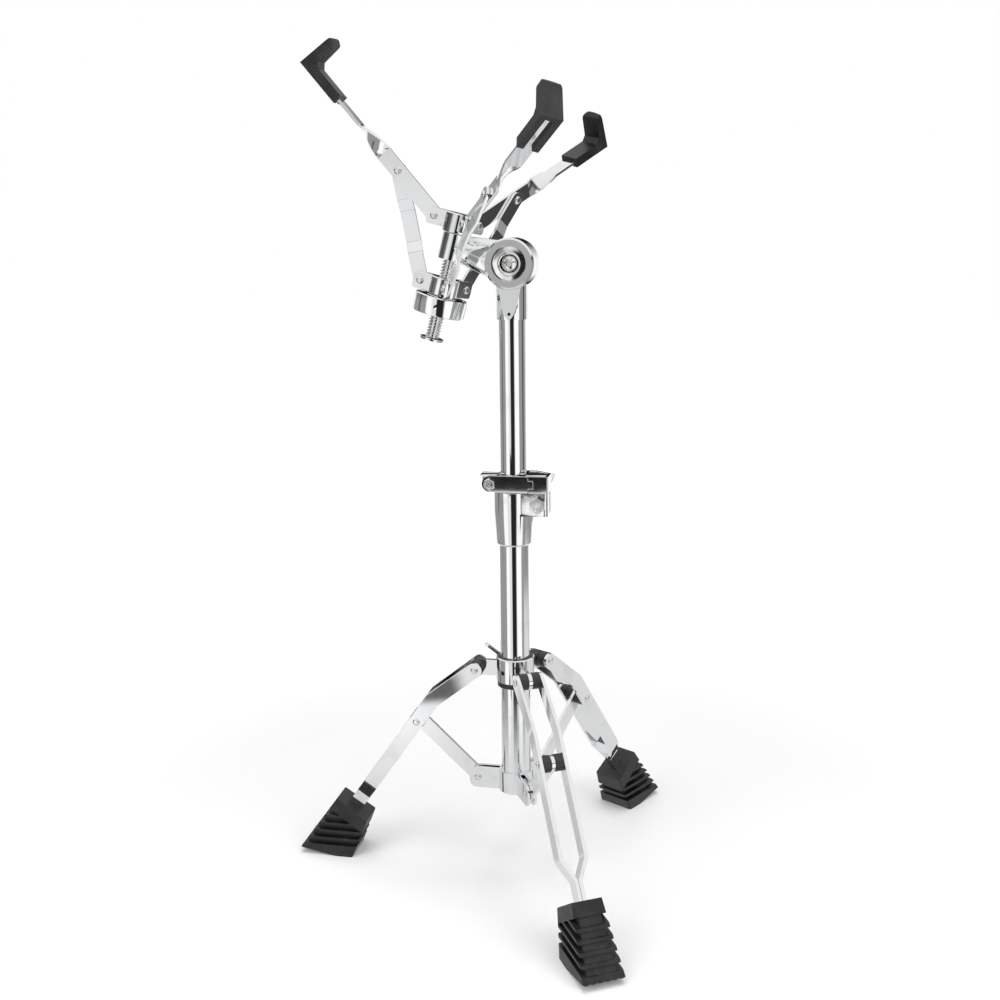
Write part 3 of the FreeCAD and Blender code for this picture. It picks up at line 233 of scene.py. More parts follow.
# Rubber tips and feet, in millimetres
ARM_ANGLE = 35.0             # degrees that an arm rises from the hub's plane
TIP_FACE = 151.5             # inner face of a tip's upright, along the arm
RIDGE_SIZE = (1.0, 11.0, 1.0)
RIDGE_EDGE = 0.35
RIDGE_COUNT = 7
RIDGE_PITCH = 2.2
RIDGE_FOOT = 8.5             # lowest ridge above the arm's centre line
SOLE_RISE = 6.0              # of a sole's outer edge
SOLE_RUN = 33.0              # over which it rises
TREAD_SIZE = (21.0, 3.4, 2.2)
TREAD_EDGE = 0.6
TREAD_COUNT = 6
TREAD_PITCH = 5.8
TREAD_INSET = 0.6            # from the sole's outer edge

# Grub screw of the leg collar, in millimetres
COLLAR_RADIUS = 16.5
GRUB_AZIMUTH = -120.0
GRUB_HEIGHT = 185.0
GRUB_PROFILE = [(0, -2.4), (0.9, -2.4), (1.1, -1.0), (1.7, -1.0), (1.9, -1.2), (1.9, -3.0), (0, -3.0)]


class Value:
    """A shader socket that can stand in plain sums."""

    def __init__(self, tree, socket):
        self.tree = tree
        self.socket = socket

    def math(self, operation, first, second=0.0):
        """Math node on one or two values."""
        node = self.tree.nodes.new("ShaderNodeMath")
        node.operation = operation
        for slot, item in zip(node.inputs, (first, second)):
            join(self.tree, slot, item)
        return Value(self.tree, node.outputs[0])

    def __add__(self, other):
        return self.math("ADD", self, other)

    def __radd__(self, other):
        return self.math("ADD", other, self)

    def __rsub__(self, other):
        return self.math("SUBTRACT", other, self)

    def __mul__(self, other):
        return self.math("MULTIPLY", self, other)

    def __rmul__(self, other):
        return self.math("MULTIPLY", other, self)

    def __truediv__(self, other):
        return self.math("DIVIDE", self, other)


def join(tree, slot, item):
    """Put a number, a colour or another socket into a socket."""
    if isinstance(item, Value):
        tree.links.new(item.socket, slot)
    else:
        slot.default_value = item


class Nodes:
    """A tree of shader nodes."""

    def __init__(self, tree):
        self.tree = tree

    def add(self, kind, settings=None, sockets=None, output=0):
        """Add a node, with its settings first and then its sockets, and give one of its outputs."""
        node = self.tree.nodes.new(kind)
        for key, setting in (settings or {}).items():
            setattr(node, key, setting)
        for key, item in (sockets or {}).items():
            join(self.tree, node.inputs[key], item)
        return Value(self.tree, node.outputs[output])

    def light_path(self, kind):
        """1 for one kind of ray and 0 for the others."""
        return self.add("ShaderNodeLightPath", output=kind)

    def show(self, shader, output):
        """Send a shader to the tree's output node."""
        join(self.tree, self.tree.nodes[output].inputs["Surface"], shader)


class Finish(Nodes):
    """A material and the nodes that make it."""

    def __init__(self, name):
        self.material = bpy.data.materials.new(name)
        self.material.use_nodes = True
        super().__init__(self.material.node_tree)
        self.shader = self.tree.nodes["Principled BSDF"]
        self.place = self.add("ShaderNodeTexCoord", output="Object")

    def set(self, **sockets):
        """Set sockets of the surface shader by their names, with _ for a space."""
        for key, item in sockets.items():
            join(self.tree, self.shader.inputs[key.replace("_", " ")], item)

    def noise(self, scale, detail=2.0, roughness=0.5, stretch=None):
        """Soft noise from 0 to 1, in waves per metre."""
        place = self.place
        if stretch:
            place = self.add("ShaderNodeMapping", None, {"Vector": place, "Scale": stretch})
        return self.add("ShaderNodeTexNoise", None,
                        {"Vector": place, "Scale": scale, "Detail": detail, "Roughness": roughness})

    def ramp(self, value, low, high):
        """Value taken from low..high to 0..1."""
        return self.add("ShaderNodeMapRange", {"interpolation_type": "SMOOTHSTEP"},
                        {"Value": value, "From Min": low, "From Max": high})

    def window(self, value, low, high, soft):
        """1 between low and high, falling to 0 over soft on either side."""
        rise = self.ramp(value, low - soft, low + soft)
        fall = self.ramp(value, high - soft, high + soft)
        return rise * (1.0 - fall)

    def mix(self, amount, first, second):
        """Blend of two colours."""
        return self.add("ShaderNodeMix", {"data_type": "RGBA"}, {0: amount, 6: first, 7: second}, 2)

    def bump(self, height, depth, strength):
        """Fine relief, as deep as depth in metres."""
        self.set(Normal=self.add("ShaderNodeBump", None,
                                 {"Height": height, "Distance": depth, "Strength": strength}))


# Finishes

def grey(level):
    """Neutral colour."""
    return (level, level, level, 1.0)


def polished_chrome():
    """Bright plating on tubes and straps, with faint wiping marks and fingerprints."""
    finish = Finish("polished_chrome")
    smears = finish.noise(38.0, detail=4.0, roughness=0.6)
    wiping = finish.noise(700.0, stretch=(1.0, 1.0, 0.04))
    handled = finish.ramp(smears, 0.52, 0.72)
    finish.set(Metallic=1.0)
    finish.set(Base_Color=finish.mix(handled, (0.86, 0.865, 0.875, 1), (0.79, 0.795, 0.80, 1)))
    finish.set(Roughness=0.035 + handled * 0.05 + wiping * 0.03)
    finish.bump(finish.noise(90.0, detail=1.0), depth=0.00002, strength=0.25)
    return finish.material


def cast_chrome():
    """Plated castings: softer mirror with a slight orange-peel wave."""
    finish = Finish("cast_chrome")
    wave = finish.noise(160.0)
    stain = finish.ramp(finish.noise(55.0, detail=4.0, roughness=0.6), 0.5, 0.75)
    finish.set(Metallic=1.0)
    finish.set(Base_Color=finish.mix(stain, (0.84, 0.845, 0.85, 1), (0.74, 0.745, 0.75, 1)))
    finish.set(Roughness=0.06 + stain * 0.08)
    finish.bump(wave, depth=0.00006, strength=0.35)
    return finish.material


def bright_steel():
    """Turned and headed hardware: zinc-bright steel with fine tool marks."""
    finish = Finish("bright_steel")
    marks = finish.noise(2400.0)
    tone = finish.ramp(finish.noise(240.0, detail=3.0), 0.35, 0.7)
    finish.set(Metallic=1.0)
    finish.set(Base_Color=finish.mix(tone, (0.86, 0.86, 0.855, 1), (0.74, 0.74, 0.73, 1)))
    finish.set(Roughness=0.08 + tone * 0.07 + marks * 0.05)
    finish.bump(marks, depth=0.00001, strength=0.3)
    return finish.material


def blackened_steel():
    """Oiled black spring steel."""
    finish = Finish("blackened_steel")
    marks = finish.noise(1500.0)
    finish.set(Base_Color=finish.mix(marks, grey(0.008), grey(0.02)))
    finish.set(Roughness=0.4 + marks * 0.1)
    return finish.material


def black_rubber():
    """Moulded rubber: matt black with a fine grain, and pale patches in places that are partly bloom and dust and
    partly painted sheen.
    """
    finish = Finish("black_rubber")
    grain = finish.noise(1100.0, detail=3.0, roughness=0.6)
    bloom_and_sheen = finish.ramp(finish.noise(52.0, detail=6.0, roughness=0.7), 0.40, 0.72)
    specks = finish.ramp(finish.noise(420.0, detail=3.0, roughness=0.6), 0.5, 0.8)
    # painted sheen: these pale patches stand partly for bloom and dust on the rubber and partly for its sheen
    dust_and_sheen = bloom_and_sheen * (0.7 + specks * 0.6)
    finish.set(Base_Color=finish.mix(dust_and_sheen, (0.007, 0.007, 0.0075, 1), (0.040, 0.039, 0.036, 1)))
    finish.set(Roughness=0.34 + dust_and_sheen * 0.26 + grain * 0.1)
    finish.set(Specular_IOR_Level=0.5)
    finish.bump(grain, depth=0.00004, strength=0.35)
    return finish.material


def black_nylon():
    """Turned nylon bushes: satin black."""
    finish = Finish("black_nylon")
    marks = finish.noise(900.0)
    finish.set(Base_Color=finish.mix(marks, (0.018, 0.018, 0.019, 1), (0.034, 0.034, 0.036, 1)))
    finish.set(Roughness=0.34 + marks * 0.14)
    finish.bump(marks, depth=0.00003, strength=0.4)
    return finish.material


# Pieces

def paint(obj, material):
    """Give a piece one material."""
    obj.data.materials.clear()
    obj.data.materials.append(material)


def edges_of(node):
    """Width, segments and least angle for a CAD node's rounded edges, or None where they stay sharp."""
    for ending, edges in EDGES_BY_ENDING.items():
        if node.endswith(ending):
            return edges
    if node in CASTINGS:
        return CAST_EDGES
    return None if node in LEFT_SHARP else OTHER_EDGES


def round_edges(obj, width, segments, angle):
    """Round a CAD node's sharp edges a little, so that they catch the light."""
    weld = obj.modifiers.new("weld", "WELD")
    weld.merge_threshold = WELD_GAP
    flat = obj.modifiers.new("flat", "DECIMATE")
    flat.decimate_type = "DISSOLVE"
    flat.angle_limit = math.radians(FLAT_ANGLE)
    edge = obj.modifiers.new("edge", "BEVEL")
    edge.width = width * MM
    edge.segments = segments
    edge.limit_method = "ANGLE"
    edge.angle_limit = math.radians(angle)
    edge.miter_outer = "MITER_ARC"
    obj.modifiers.new("shade", "WEIGHTED_NORMAL").keep_sharp = False


def choose(obj):
    """Make a piece the only one that is selected."""
    bpy.ops.object.select_all(action="DESELECT")
    obj.select_set(True)
    bpy.context.view_layer.objects.active = obj


def start_piece(name):
    """One point at the origin, in edit mode, ready to be drawn out."""
    bpy.ops.object.select_all(action="DESELECT")
    bpy.ops.mesh.primitive_plane_add(size=2 * MM)
    obj = bpy.context.object
    obj.name = name
    bpy.ops.object.mode_set(mode="EDIT")
    bpy.ops.mesh.select_all(action="SELECT")
    bpy.ops.mesh.merge(type="CENTER")
    return obj


def draw_line(points):
    """Draw the point out along a line of points in millimetres."""
    last = Vector((0, 0, 0))
    for index, point in enumerate(points):
        step = (Vector(point) - last) * MM
        if index:
            bpy.ops.mesh.extrude_vertices_move(TRANSFORM_OT_translate={"value": step})
        else:
            bpy.ops.transform.translate(value=step)
        last = Vector(point)


def draw_profile(points):
    """Draw the point out along a line of (radius, height) points in millimetres."""
    draw_line([(radius, 0, height) for radius, height in points])


def use_modifier(obj, kind, **settings):
    """Add a modifier, set it and apply it."""
    modifier = obj.modifiers.new(kind.lower(), kind)
    for key, setting in settings.items():
        setattr(modifier, key, setting)
    bpy.ops.object.modifier_apply(modifier=modifier.name)


def close_piece():
    """Merge doubles and turn the faces outwards."""
    bpy.ops.object.mode_set(mode="EDIT")
    bpy.ops.mesh.select_all(action="SELECT")
    bpy.ops.mesh.remove_doubles(threshold=MERGE_GAP)
    bpy.ops.mesh.normals_make_consistent(inside=False)
    bpy.ops.object.mode_set(mode="OBJECT")


def turned_piece(name, points, steps):
    """Solid of revolution about Z from a profile that starts and ends on the axis, or meets itself."""
    obj = start_piece(name)
    draw_profile(points)
    bpy.ops.object.mode_set(mode="OBJECT")
    use_modifier(obj, "SCREW", axis="Z", steps=steps, render_steps=steps, use_merge_vertices=True,
                 merge_threshold=MERGE_GAP)
    close_piece()
    return obj


def thread_piece(name, low, high):
    """Helical ridge about Z from low to high in millimetres, with its ends cut square."""
    turns = int((high - low) / THREAD_PITCH) + THREAD_SPARE_TURNS
    start = low - THREAD_PITCH
    root = THREAD_ROOT - THREAD_SINK
    obj = start_piece(name)
    draw_profile([(root, start), (ROD_RADIUS, start + THREAD_FLANK),
                  (ROD_RADIUS, start + THREAD_FLANK + THREAD_CREST),
                  (root, start + 2 * THREAD_FLANK + THREAD_CREST), (root, start + THREAD_PITCH)])
    bpy.ops.object.mode_set(mode="OBJECT")
    use_modifier(obj, "SCREW", axis="Z", steps=THREAD_STEPS, render_steps=THREAD_STEPS, iterations=turns,
                 screw_offset=THREAD_PITCH * MM, use_merge_vertices=True, merge_threshold=MERGE_GAP)
    bpy.ops.object.mode_set(mode="EDIT")
    for height, side in ((low, "clear_inner"), (high, "clear_outer")):
        bpy.ops.mesh.select_all(action="SELECT")
        bpy.ops.mesh.bisect(plane_co=(0, 0, height * MM), plane_no=(0, 0, 1), use_fill=True, **{side: True})
    bpy.ops.object.mode_set(mode="OBJECT")
    close_piece()
    return obj


def join_pieces(first, second):
    """Make two pieces one."""
    choose(first)
    second.select_set(True)
    bpy.ops.object.join()


def bar_piece(name, size, edge):
    """Small bar about the origin with rounded edges, sizes in millimetres."""
    bpy.ops.object.select_all(action="DESELECT")
    bpy.ops.mesh.primitive_cube_add(size=1.0)
    obj = bpy.context.object
    obj.name = name
    bpy.ops.object.mode_set(mode="EDIT")
    bpy.ops.mesh.select_all(action="SELECT")
    bpy.ops.transform.resize(value=[side * MM for side in size])
    bpy.ops.mesh.bevel(offset=edge * MM, segments=3, affect="EDGES")
    bpy.ops.object.mode_set(mode="OBJECT")
    return obj


def plate_piece(name, corners, foot, thickness, edge):
    """Flat plate with rounded edges from its corners in plan, in millimetres."""
    obj = start_piece(name)
    draw_line([(across, back, foot) for across, back in corners])
    bpy.ops.mesh.select_all(action="SELECT")
    bpy.ops.mesh.edge_face_add()
    bpy.ops.mesh.extrude_region_move(TRANSFORM_OT_translate={"value": (0, 0, thickness * MM)})
    bpy.ops.mesh.select_all(action="SELECT")
    bpy.ops.mesh.bevel(offset=edge * MM, segments=2, affect="EDGES")
    bpy.ops.object.mode_set(mode="OBJECT")
    close_piece()
    return obj


def repeat(obj, count, step):
    """Row of copies of a piece, a step apart in millimetres, as one piece."""
    choose(obj)
    use_modifier(obj, "ARRAY", count=count, use_relative_offset=False, use_constant_offset=True,
                 constant_offset_displace=[side * MM for side in step])


def own_copy(obj, name):
    """Copy of a piece with its own mesh."""
    choose(obj)
    bpy.ops.object.duplicate(linked=False)
    copy = bpy.context.object
    copy.name = name
    return copy


def settle(obj, turn, place):
    """Turn and place a finished piece, and keep that in its mesh."""
    choose(obj)
    obj.matrix_world = Matrix.Translation(place) @ turn.to_4x4()
    bpy.ops.object.transform_apply(location=True, rotation=True, scale=True)
    bpy.ops.object.shade_smooth_by_angle(angle=math.radians(SMOOTH_ANGLE))


def joint(name):
    """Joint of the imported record."""
    return next(item for item in frame["joints"] if item["name"] == name)


def turn_up_to(way):
    """Turn from upright to a direction."""
    return Vector((0, 0, 1)).rotation_difference(Vector(way)).to_matrix()


def basket_turn():
    """Turn from upright to the rod's lean."""
    return turn_up_to(joint("ring_nut_turn")["axis"])


def facing_front():
    """Turn from upright to facing the front."""
    return turn_up_to((0, -1, 0))


def basket_place(height):
    """Point on the rod's axis, in millimetres above the arm pivots."""
    seat = joint("ring_nut_turn")
    return Vector(seat["pos_m"]) + Vector(seat["axis"]) * ((height - NUT_SEAT) * MM)


def threaded_rod(steel):
    """Rod of the basket with its rolled thread and riveted end."""
    core = turned_piece("threaded_rod_core", [
        (0, ROD_FOOT), (ROD_TIP_RADIUS - ROD_TIP_CHAMFER, ROD_FOOT),
        (ROD_TIP_RADIUS, ROD_FOOT + ROD_TIP_CHAMFER), (ROD_TIP_RADIUS, ROD_SHOULDER),
        (THREAD_ROOT, ROD_SHOULDER), (THREAD_ROOT, ROD_TOP - ROD_TOP_CHAMFER),
        (THREAD_ROOT - ROD_TOP_CHAMFER, ROD_TOP), (0, ROD_TOP)], steps=48)
    ridge = thread_piece("threaded_rod_ridge", ROD_SHOULDER, ROD_TOP - THREAD_END)
    join_pieces(core, ridge)
    core.name = "threaded_rod_cut"
    settle(core, basket_turn(), basket_place(0))
    paint(core, steel)
    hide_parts("threaded_rod")
    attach(core, "tilter")


def ring_nut(chrome):
    """Ring nut with its hollow top, where the lower hub sits."""
    hollow_foot = RING_TOP - RING_HOLLOW
    foot = [(RING_RADIUS - inset, RING_FOOT + up) for inset, up in RING_FOOT_EDGE]
    rim = [(RING_RADIUS - inset, RING_TOP - down) for inset, down in RING_RIM_EDGE]
    hollow = [(RING_RADIUS - RING_WALL, hollow_foot), (RING_SEAT, hollow_foot)]
    seat = [(RING_SEAT - inset, RING_TOP - down) for inset, down in RING_SEAT_EDGE]
    bore = [(RING_BORE, RING_TOP), (RING_BORE, RING_FOOT)]
    nut = turned_piece("ring_nut_cup", bore[1:] + foot + rim + hollow + seat + bore, steps=128)
    settle(nut, basket_turn(), basket_place(0))
    paint(nut, chrome)
    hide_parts("ring_nut")
    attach(nut, "ring_nut")


def ring_nut_lining(nylon):
    """Black lining in the hollow top of the ring nut."""
    wide = RING_RADIUS - RING_WALL - LINING_SIDE_GAP
    inside = wide - LINING_LIP
    narrow = RING_SEAT + LINING_GAP
    foot = RING_TOP - RING_HOLLOW + LINING_GAP
    bed = foot + LINING_THICKNESS
    top = RING_TOP - LINING_DROP
    lining = turned_piece("ring_nut_lining", [
        (narrow, foot), (wide, foot), (wide, top), (inside, top), (inside - LINING_TAPER, bed),
        (narrow, bed), (narrow, foot)], steps=96)
    settle(lining, basket_turn(), basket_place(0))
    paint(lining, nylon)
    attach(lining, "ring_nut")


def cut_to_hexagon(obj, flats, height):
    """Leave of a turned piece what lies inside a hexagon bar, sizes in millimetres."""
    bpy.ops.object.select_all(action="DESELECT")
    bpy.ops.mesh.primitive_cylinder_add(vertices=6, radius=flats / math.sqrt(3) * MM, depth=4 * height * MM)
    bar = bpy.context.object
    choose(obj)
    use_modifier(obj, "BOOLEAN", operation="INTERSECT", solver="EXACT", object=bar)
    bpy.data.objects.remove(bar)
    close_piece()


def lock_place():
    """Middle of the nut's seat on the memory lock's front jaw."""
    low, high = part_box("lock_nut")
    return Vector(((low[0] + high[0]) / 2, high[1], (low[2] + high[2]) / 2))


def lock_nut(steel):
    """Hex nut at the front of the memory lock, with a turned chamfer."""
    face = LOCK_NUT_FLATS / 2 - LOCK_NUT_FACE_INSET
    corner = LOCK_NUT_FLATS / 2 * LOCK_NUT_CORNERS
    nut = turned_piece("lock_nut_cut", [
        (LOCK_NUT_BORE, 0), (corner, 0), (corner, LOCK_NUT_HEIGHT - LOCK_NUT_CHAMFER),
        (face, LOCK_NUT_HEIGHT), (LOCK_NUT_MOUTH, LOCK_NUT_HEIGHT),
        (LOCK_NUT_BORE, LOCK_NUT_HEIGHT - LOCK_NUT_SINK), (LOCK_NUT_BORE, 0)], steps=48)
    cut_to_hexagon(nut, LOCK_NUT_FLATS, LOCK_NUT_HEIGHT)
    settle(nut, facing_front(), lock_place())
    paint(nut, steel)
    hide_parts("lock_nut")
    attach(nut, "memory_lock")


def lock_screw(steel):
    """Screw of the memory lock: hollow end in front, collar and square head for a drum key at the back."""
    end = LOCK_NUT_HEIGHT - LOCK_SCREW_SHORT
    well = end - LOCK_WELL_DEPTH
    front = -LOCK_FLANGE_BACK
    back = front - LOCK_COLLAR_THICKNESS
    eased = LOCK_COLLAR_RADIUS - LOCK_COLLAR_CHAMFER
    screw = turned_piece("lock_screw_cut", [
        (0, well), (LOCK_WELL_FOOT, well), (LOCK_WELL_MOUTH, end),
        (LOCK_SCREW_RADIUS - LOCK_SCREW_CHAMFER, end),
        (LOCK_SCREW_RADIUS, end - LOCK_SCREW_CHAMFER), (LOCK_SCREW_RADIUS, front), (eased, front),
        (LOCK_COLLAR_RADIUS, front - LOCK_COLLAR_CHAMFER), (LOCK_COLLAR_RADIUS, back + LOCK_COLLAR_CHAMFER),
        (eased, back), (0, back)], steps=32)
    head = bar_piece("lock_key_head", LOCK_KEY, LOCK_KEY_EDGE)
    settle(head, Matrix.Identity(3), Vector((0, 0, (front - LOCK_KEY_MIDDLE) * MM)))
    join_pieces(screw, head)
    settle(screw, facing_front(), lock_place())
    paint(screw, steel)
    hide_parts("lock_screw")
    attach(screw, "memory_lock")


def lock_lips(chrome):
    """Lips bent over from the top of the memory lock's rear jaw, on either side of the tube."""
    low, high = [Vector(corner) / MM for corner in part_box("lock_rear_jaw")]
    front = low.y + LOCK_WALL + LIP_GAP
    right = high.x - LOCK_WALL - LIP_GAP
    back = high.y - LOCK_WALL - LIP_BACK_GAP
    left = low.x + LEFT_LIP_GAP
    outlines = {
        "lock_right_lip": [(LIP_TUBE_ROOM, front), (right, front), (right, low.y + LIP_SIDE),
                           (LIP_SHOULDER, back), (LIP_TUBE_ROOM, back)],
        "lock_left_lip": [(left, front), (-LEFT_LIP_ROOM, front), (-LEFT_LIP_ROOM, LEFT_LIP_BACK),
                          (left, LEFT_LIP_BACK)]}
    for name, corners in outlines.items():
        lip = plate_piece(name, corners, high.z - LIP_THICKNESS - LIP_DROP, LIP_THICKNESS, LIP_EDGE)
        settle(lip, Matrix.Identity(3), Vector((0, 0, 0)))
        paint(lip, chrome)
        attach(lip, "memory_lock")


def socket_pin(black_steel):
    """Hollow spring pin across the tilter's socket."""
    low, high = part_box("socket_pin")
    half = high[1] / MM
    eased = PIN_RADIUS - PIN_CHAMFER
    pin = turned_piece("socket_spring_pin", [
        (PIN_BORE, -half), (eased, -half), (PIN_RADIUS, PIN_CHAMFER - half),
        (PIN_RADIUS, half - PIN_CHAMFER), (eased, half), (PIN_BORE, half), (PIN_BORE, -half)], steps=24)
    settle(pin, facing_front(), Vector((0, 0, (low[2] + high[2]) / 2)))
    paint(pin, black_steel)
    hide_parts("socket_pin")
    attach(pin, "upper_pole")


def cup_washer(steel):
    """Raised washer under the tilter bolt's head."""
    foot = -RECESS_DEPTH + WASHER_GAP
    eased = WASHER_RADIUS - WASHER_CHAMFER
    rim = [(WASHER_HOLE, foot), (eased, foot), (WASHER_RADIUS, foot + WASHER_CHAMFER),
           (WASHER_RADIUS, foot + WASHER_RIM - WASHER_CHAMFER), (eased, foot + WASHER_RIM)]
    washer = turned_piece("tilter_cup_washer", rim + WASHER_CROWN + rim[:1], steps=96)
    axis = Vector(joint("tilt")["pos_m"])
    settle(washer, facing_front(), Vector((axis.x, DISC_FRONT * MM, axis.z)))
    paint(washer, steel)
    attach(washer, "upper_pole")


def grub_screw(nylon):
    """Black socket screw in the front of the leg collar."""
    screw = turned_piece("collar_grub_screw", GRUB_PROFILE, steps=24)
    azimuth = math.radians(GRUB_AZIMUTH)
    outward = Vector((math.cos(azimuth), math.sin(azimuth), 0))
    settle(screw, turn_up_to(outward), outward * (COLLAR_RADIUS * MM) + Vector((0, 0, GRUB_HEIGHT * MM)))
    paint(screw, nylon)
    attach(screw, "collar")


def arm_turn(leg):
    """Directions of a basket arm: along it, across it and up from it."""
    swing = Vector(joint("arm_swing_" + leg)["axis"])
    rod = Vector(joint("ring_nut_turn")["axis"])
    outward = rod.cross(swing)
    rise = math.radians(ARM_ANGLE)
    along = outward * math.cos(rise) + rod * math.sin(rise)
    up = rod * math.cos(rise) - outward * math.sin(rise)
    return Matrix((along, up.cross(along), up)).transposed()


def tip_ridges(rubber):
    """Fine ridges on the inner face of each tip, where the drum's rim is held."""
    model = bar_piece("tip_ridge_model", RIDGE_SIZE, RIDGE_EDGE)
    repeat(model, RIDGE_COUNT, (0, 0, RIDGE_PITCH))
    for leg in LEG_TURNS:
        ridges = own_copy(model, leg + "_tip_ridges")
        turn = arm_turn(leg)
        pivot = Vector(joint("arm_swing_" + leg)["pos_m"])
        settle(ridges, turn, pivot + turn @ Vector((TIP_FACE * MM, 0, RIDGE_FOOT * MM)))
        paint(ridges, rubber)
        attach(ridges, "arm_" + leg)
    bpy.data.objects.remove(model)


def sole_treads(rubber):
    """Tread bars under the rising part of each rubber foot's sole."""
    model = bar_piece("sole_tread_model", TREAD_SIZE, TREAD_EDGE)
    repeat(model, TREAD_COUNT, (0, TREAD_PITCH, 0))
    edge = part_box("left_foot")[0][0]
    slope = math.atan2(SOLE_RISE, SOLE_RUN)
    reach = TREAD_SIZE[0] / 2 + TREAD_INSET
    middle = Vector((edge + reach * MM, -TREAD_PITCH * MM * (TREAD_COUNT - 1) / 2,
                     (SOLE_RISE - math.tan(slope) * reach) * MM))
    for leg, degrees in LEG_TURNS.items():
        treads = own_copy(model, leg + "_sole_treads")
        about = Matrix.Rotation(math.radians(degrees), 3, "Z")
        settle(treads, about @ Matrix.Rotation(slope, 3, "Y"), about @ middle)
        paint(treads, rubber)
        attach(treads, "leg_" + leg)
    bpy.data.objects.remove(model)


def dress_frame():
    """Finish every CAD node by the slot that it has in the record, and add the pieces made here."""
    finishes = {"chrome_plate": polished_chrome(), "bright_steel": bright_steel(),
                "black_rubber": black_rubber(), "black_nylon": black_nylon()}
    cast = cast_chrome()
    for part in frame["record"]["subparts"]:
        node = part["node"]
        obj = frame["nodes"][node]
        paint(obj, cast if node in CASTINGS else finishes[part["material_slot"]])
        edges = edges_of(node)
        if edges:
            round_edges(obj, *edges)
    threaded_rod(finishes["bright_steel"])
    ring_nut(finishes["chrome_plate"])
    ring_nut_lining(finishes["black_nylon"])
    lock_lips(finishes["chrome_plate"])
    socket_pin(blackened_steel())
    lock_nut(finishes["bright_steel"])
    lock_screw(finishes["bright_steel"])
    cup_washer(finishes["bright_steel"])
    grub_screw(finishes["black_nylon"])
    tip_ridges(finishes["black_rubber"])
    sole_treads(finishes["black_rubber"])


# Studio

def studio_world():
    """White to the camera and to mirrors, and a plain light to everything else."""
    world = bpy.data.worlds.new("studio")
    bpy.context.scene.world = world
    world.use_nodes = True
    nodes = Nodes(world.node_tree)
    nodes.tree.nodes.remove(nodes.tree.nodes["Background"])
    seen = nodes.light_path("Is Camera Ray") + nodes.light_path("Is Glossy Ray")
    seen = seen + nodes.light_path("Is Transmission Ray")
    plain = nodes.add("ShaderNodeBackground", None, {"Color": grey(WORLD_LEVEL)})
    white = nodes.add("ShaderNodeBackground", None, {"Color": grey(1.0)})
    nodes.show(nodes.add("ShaderNodeMixShader", None, {0: seen, 1: plain, 2: white}), "World Output")


def from_camera(degrees, distance, height):
    """Point at an angle round the pole from the camera, positive to the camera's right."""
    angle = math.radians(CAMERA_AZIMUTH + degrees)
    return Vector((math.sin(angle) * distance, -math.cos(angle) * distance, height))


def softbox(name, place, target, size, power):
    """Square lamp for soft light and shadow. Mirrors see the room's panels in its place."""
    lamp = bpy.data.lights.new(name, "AREA")
    lamp.shape = "SQUARE"
    lamp.size = size
    lamp.energy = power
    obj = bpy.data.objects.new(name, lamp)
    bpy.context.collection.objects.link(obj)
    obj.location = place
    obj.visible_glossy = False
    obj.rotation_mode = "QUATERNION"
    obj.rotation_quaternion = (Vector(target) - obj.location).to_track_quat("-Z", "Y")


def distance_along(finish, way):
    """How far a point lies from the pole in a level direction."""
    return finish.add("ShaderNodeVectorMath", {"operation": "DOT_PRODUCT"},
                      {0: finish.place, 1: way}, "Value")


def turn_from_camera(finish):
    """Angle round the pole from the camera in degrees, positive to the camera's right."""
    bearing = math.radians(CAMERA_AZIMUTH)
    towards = distance_along(finish, (math.sin(bearing), -math.cos(bearing), 0.0))
    across = distance_along(finish, (math.cos(bearing), math.sin(bearing), 0.0))
    return towards.math("ARCTAN2", across, towards) * math.degrees(1)


def surround(finish, turn):
    """What mirrors see round the stand: grey walls, lit panels, and dark gaps in front and behind."""
    right = finish.window(turn, *RIGHT_PANEL) * RIGHT_PANEL_LEVEL
    left = finish.window(turn, *LEFT_PANEL) * LEFT_PANEL_LEVEL
    left = left + finish.window(turn, *LEFT_MIDDLE) * LEFT_MIDDLE_LEVEL
    apart = turn.math("ABSOLUTE", turn)
    back = finish.window(apart, *BACK_PANEL) * BACK_PANEL_LEVEL
    level = WALL_LEVEL + right + left + back
    level = level * (1.0 - finish.window(turn, *FRONT_GAP) * FRONT_GAP_SHADE)
    return level * (1.0 - finish.ramp(apart, *BACK_GAP) * BACK_GAP_SHADE)


def seams(finish, turn):
    """Dark joins of the walls at either side, as the light that they take away."""
    return (finish.window(turn, *RIGHT_SEAM) + finish.window(turn, *LEFT_SEAM)) * SEAM_SHADE


def studio_room():
    """Room that only mirrors see, with a lit ceiling."""
    bpy.ops.object.select_all(action="DESELECT")
    bpy.ops.mesh.primitive_uv_sphere_add(segments=64, ring_count=32, radius=ROOM_RADIUS)
    room = bpy.context.object
    room.name = "studio_room"
    room.visible_camera = False
    room.visible_diffuse = False
    room.visible_shadow = False
    room.visible_transmission = False
    finish = Finish("studio_room")
    turn = turn_from_camera(finish)
    height = finish.add("ShaderNodeSeparateXYZ", None, {0: finish.place}, "Z")
    rise = height.math("ARCSINE", height / ROOM_RADIUS) * math.degrees(1)
    low_card = finish.window(turn, *LOW_CARD_TURN) * finish.window(rise, *LOW_CARD_RISE)
    high_panel = finish.window(turn, *HIGH_PANEL_TURN) * finish.window(rise, *HIGH_PANEL_RISE)
    wall = surround(finish, turn) * (1.0 - seams(finish, turn)) * (1.0 - low_card * LOW_CARD_SHADE)
    wall = wall * (1.0 - finish.ramp(rise, *WALL_FADE) * WALL_FADE_SHADE) + high_panel * HIGH_PANEL_LEVEL
    ceiling = finish.ramp(rise, *CEILING_EDGE)
    level = wall * (1.0 - ceiling) + ceiling * CEILING_LEVEL
    finish.tree.nodes.remove(finish.shader)
    finish.show(finish.add("ShaderNodeEmission", None, {"Color": level}), "Material Output")
    paint(room, finish.material)


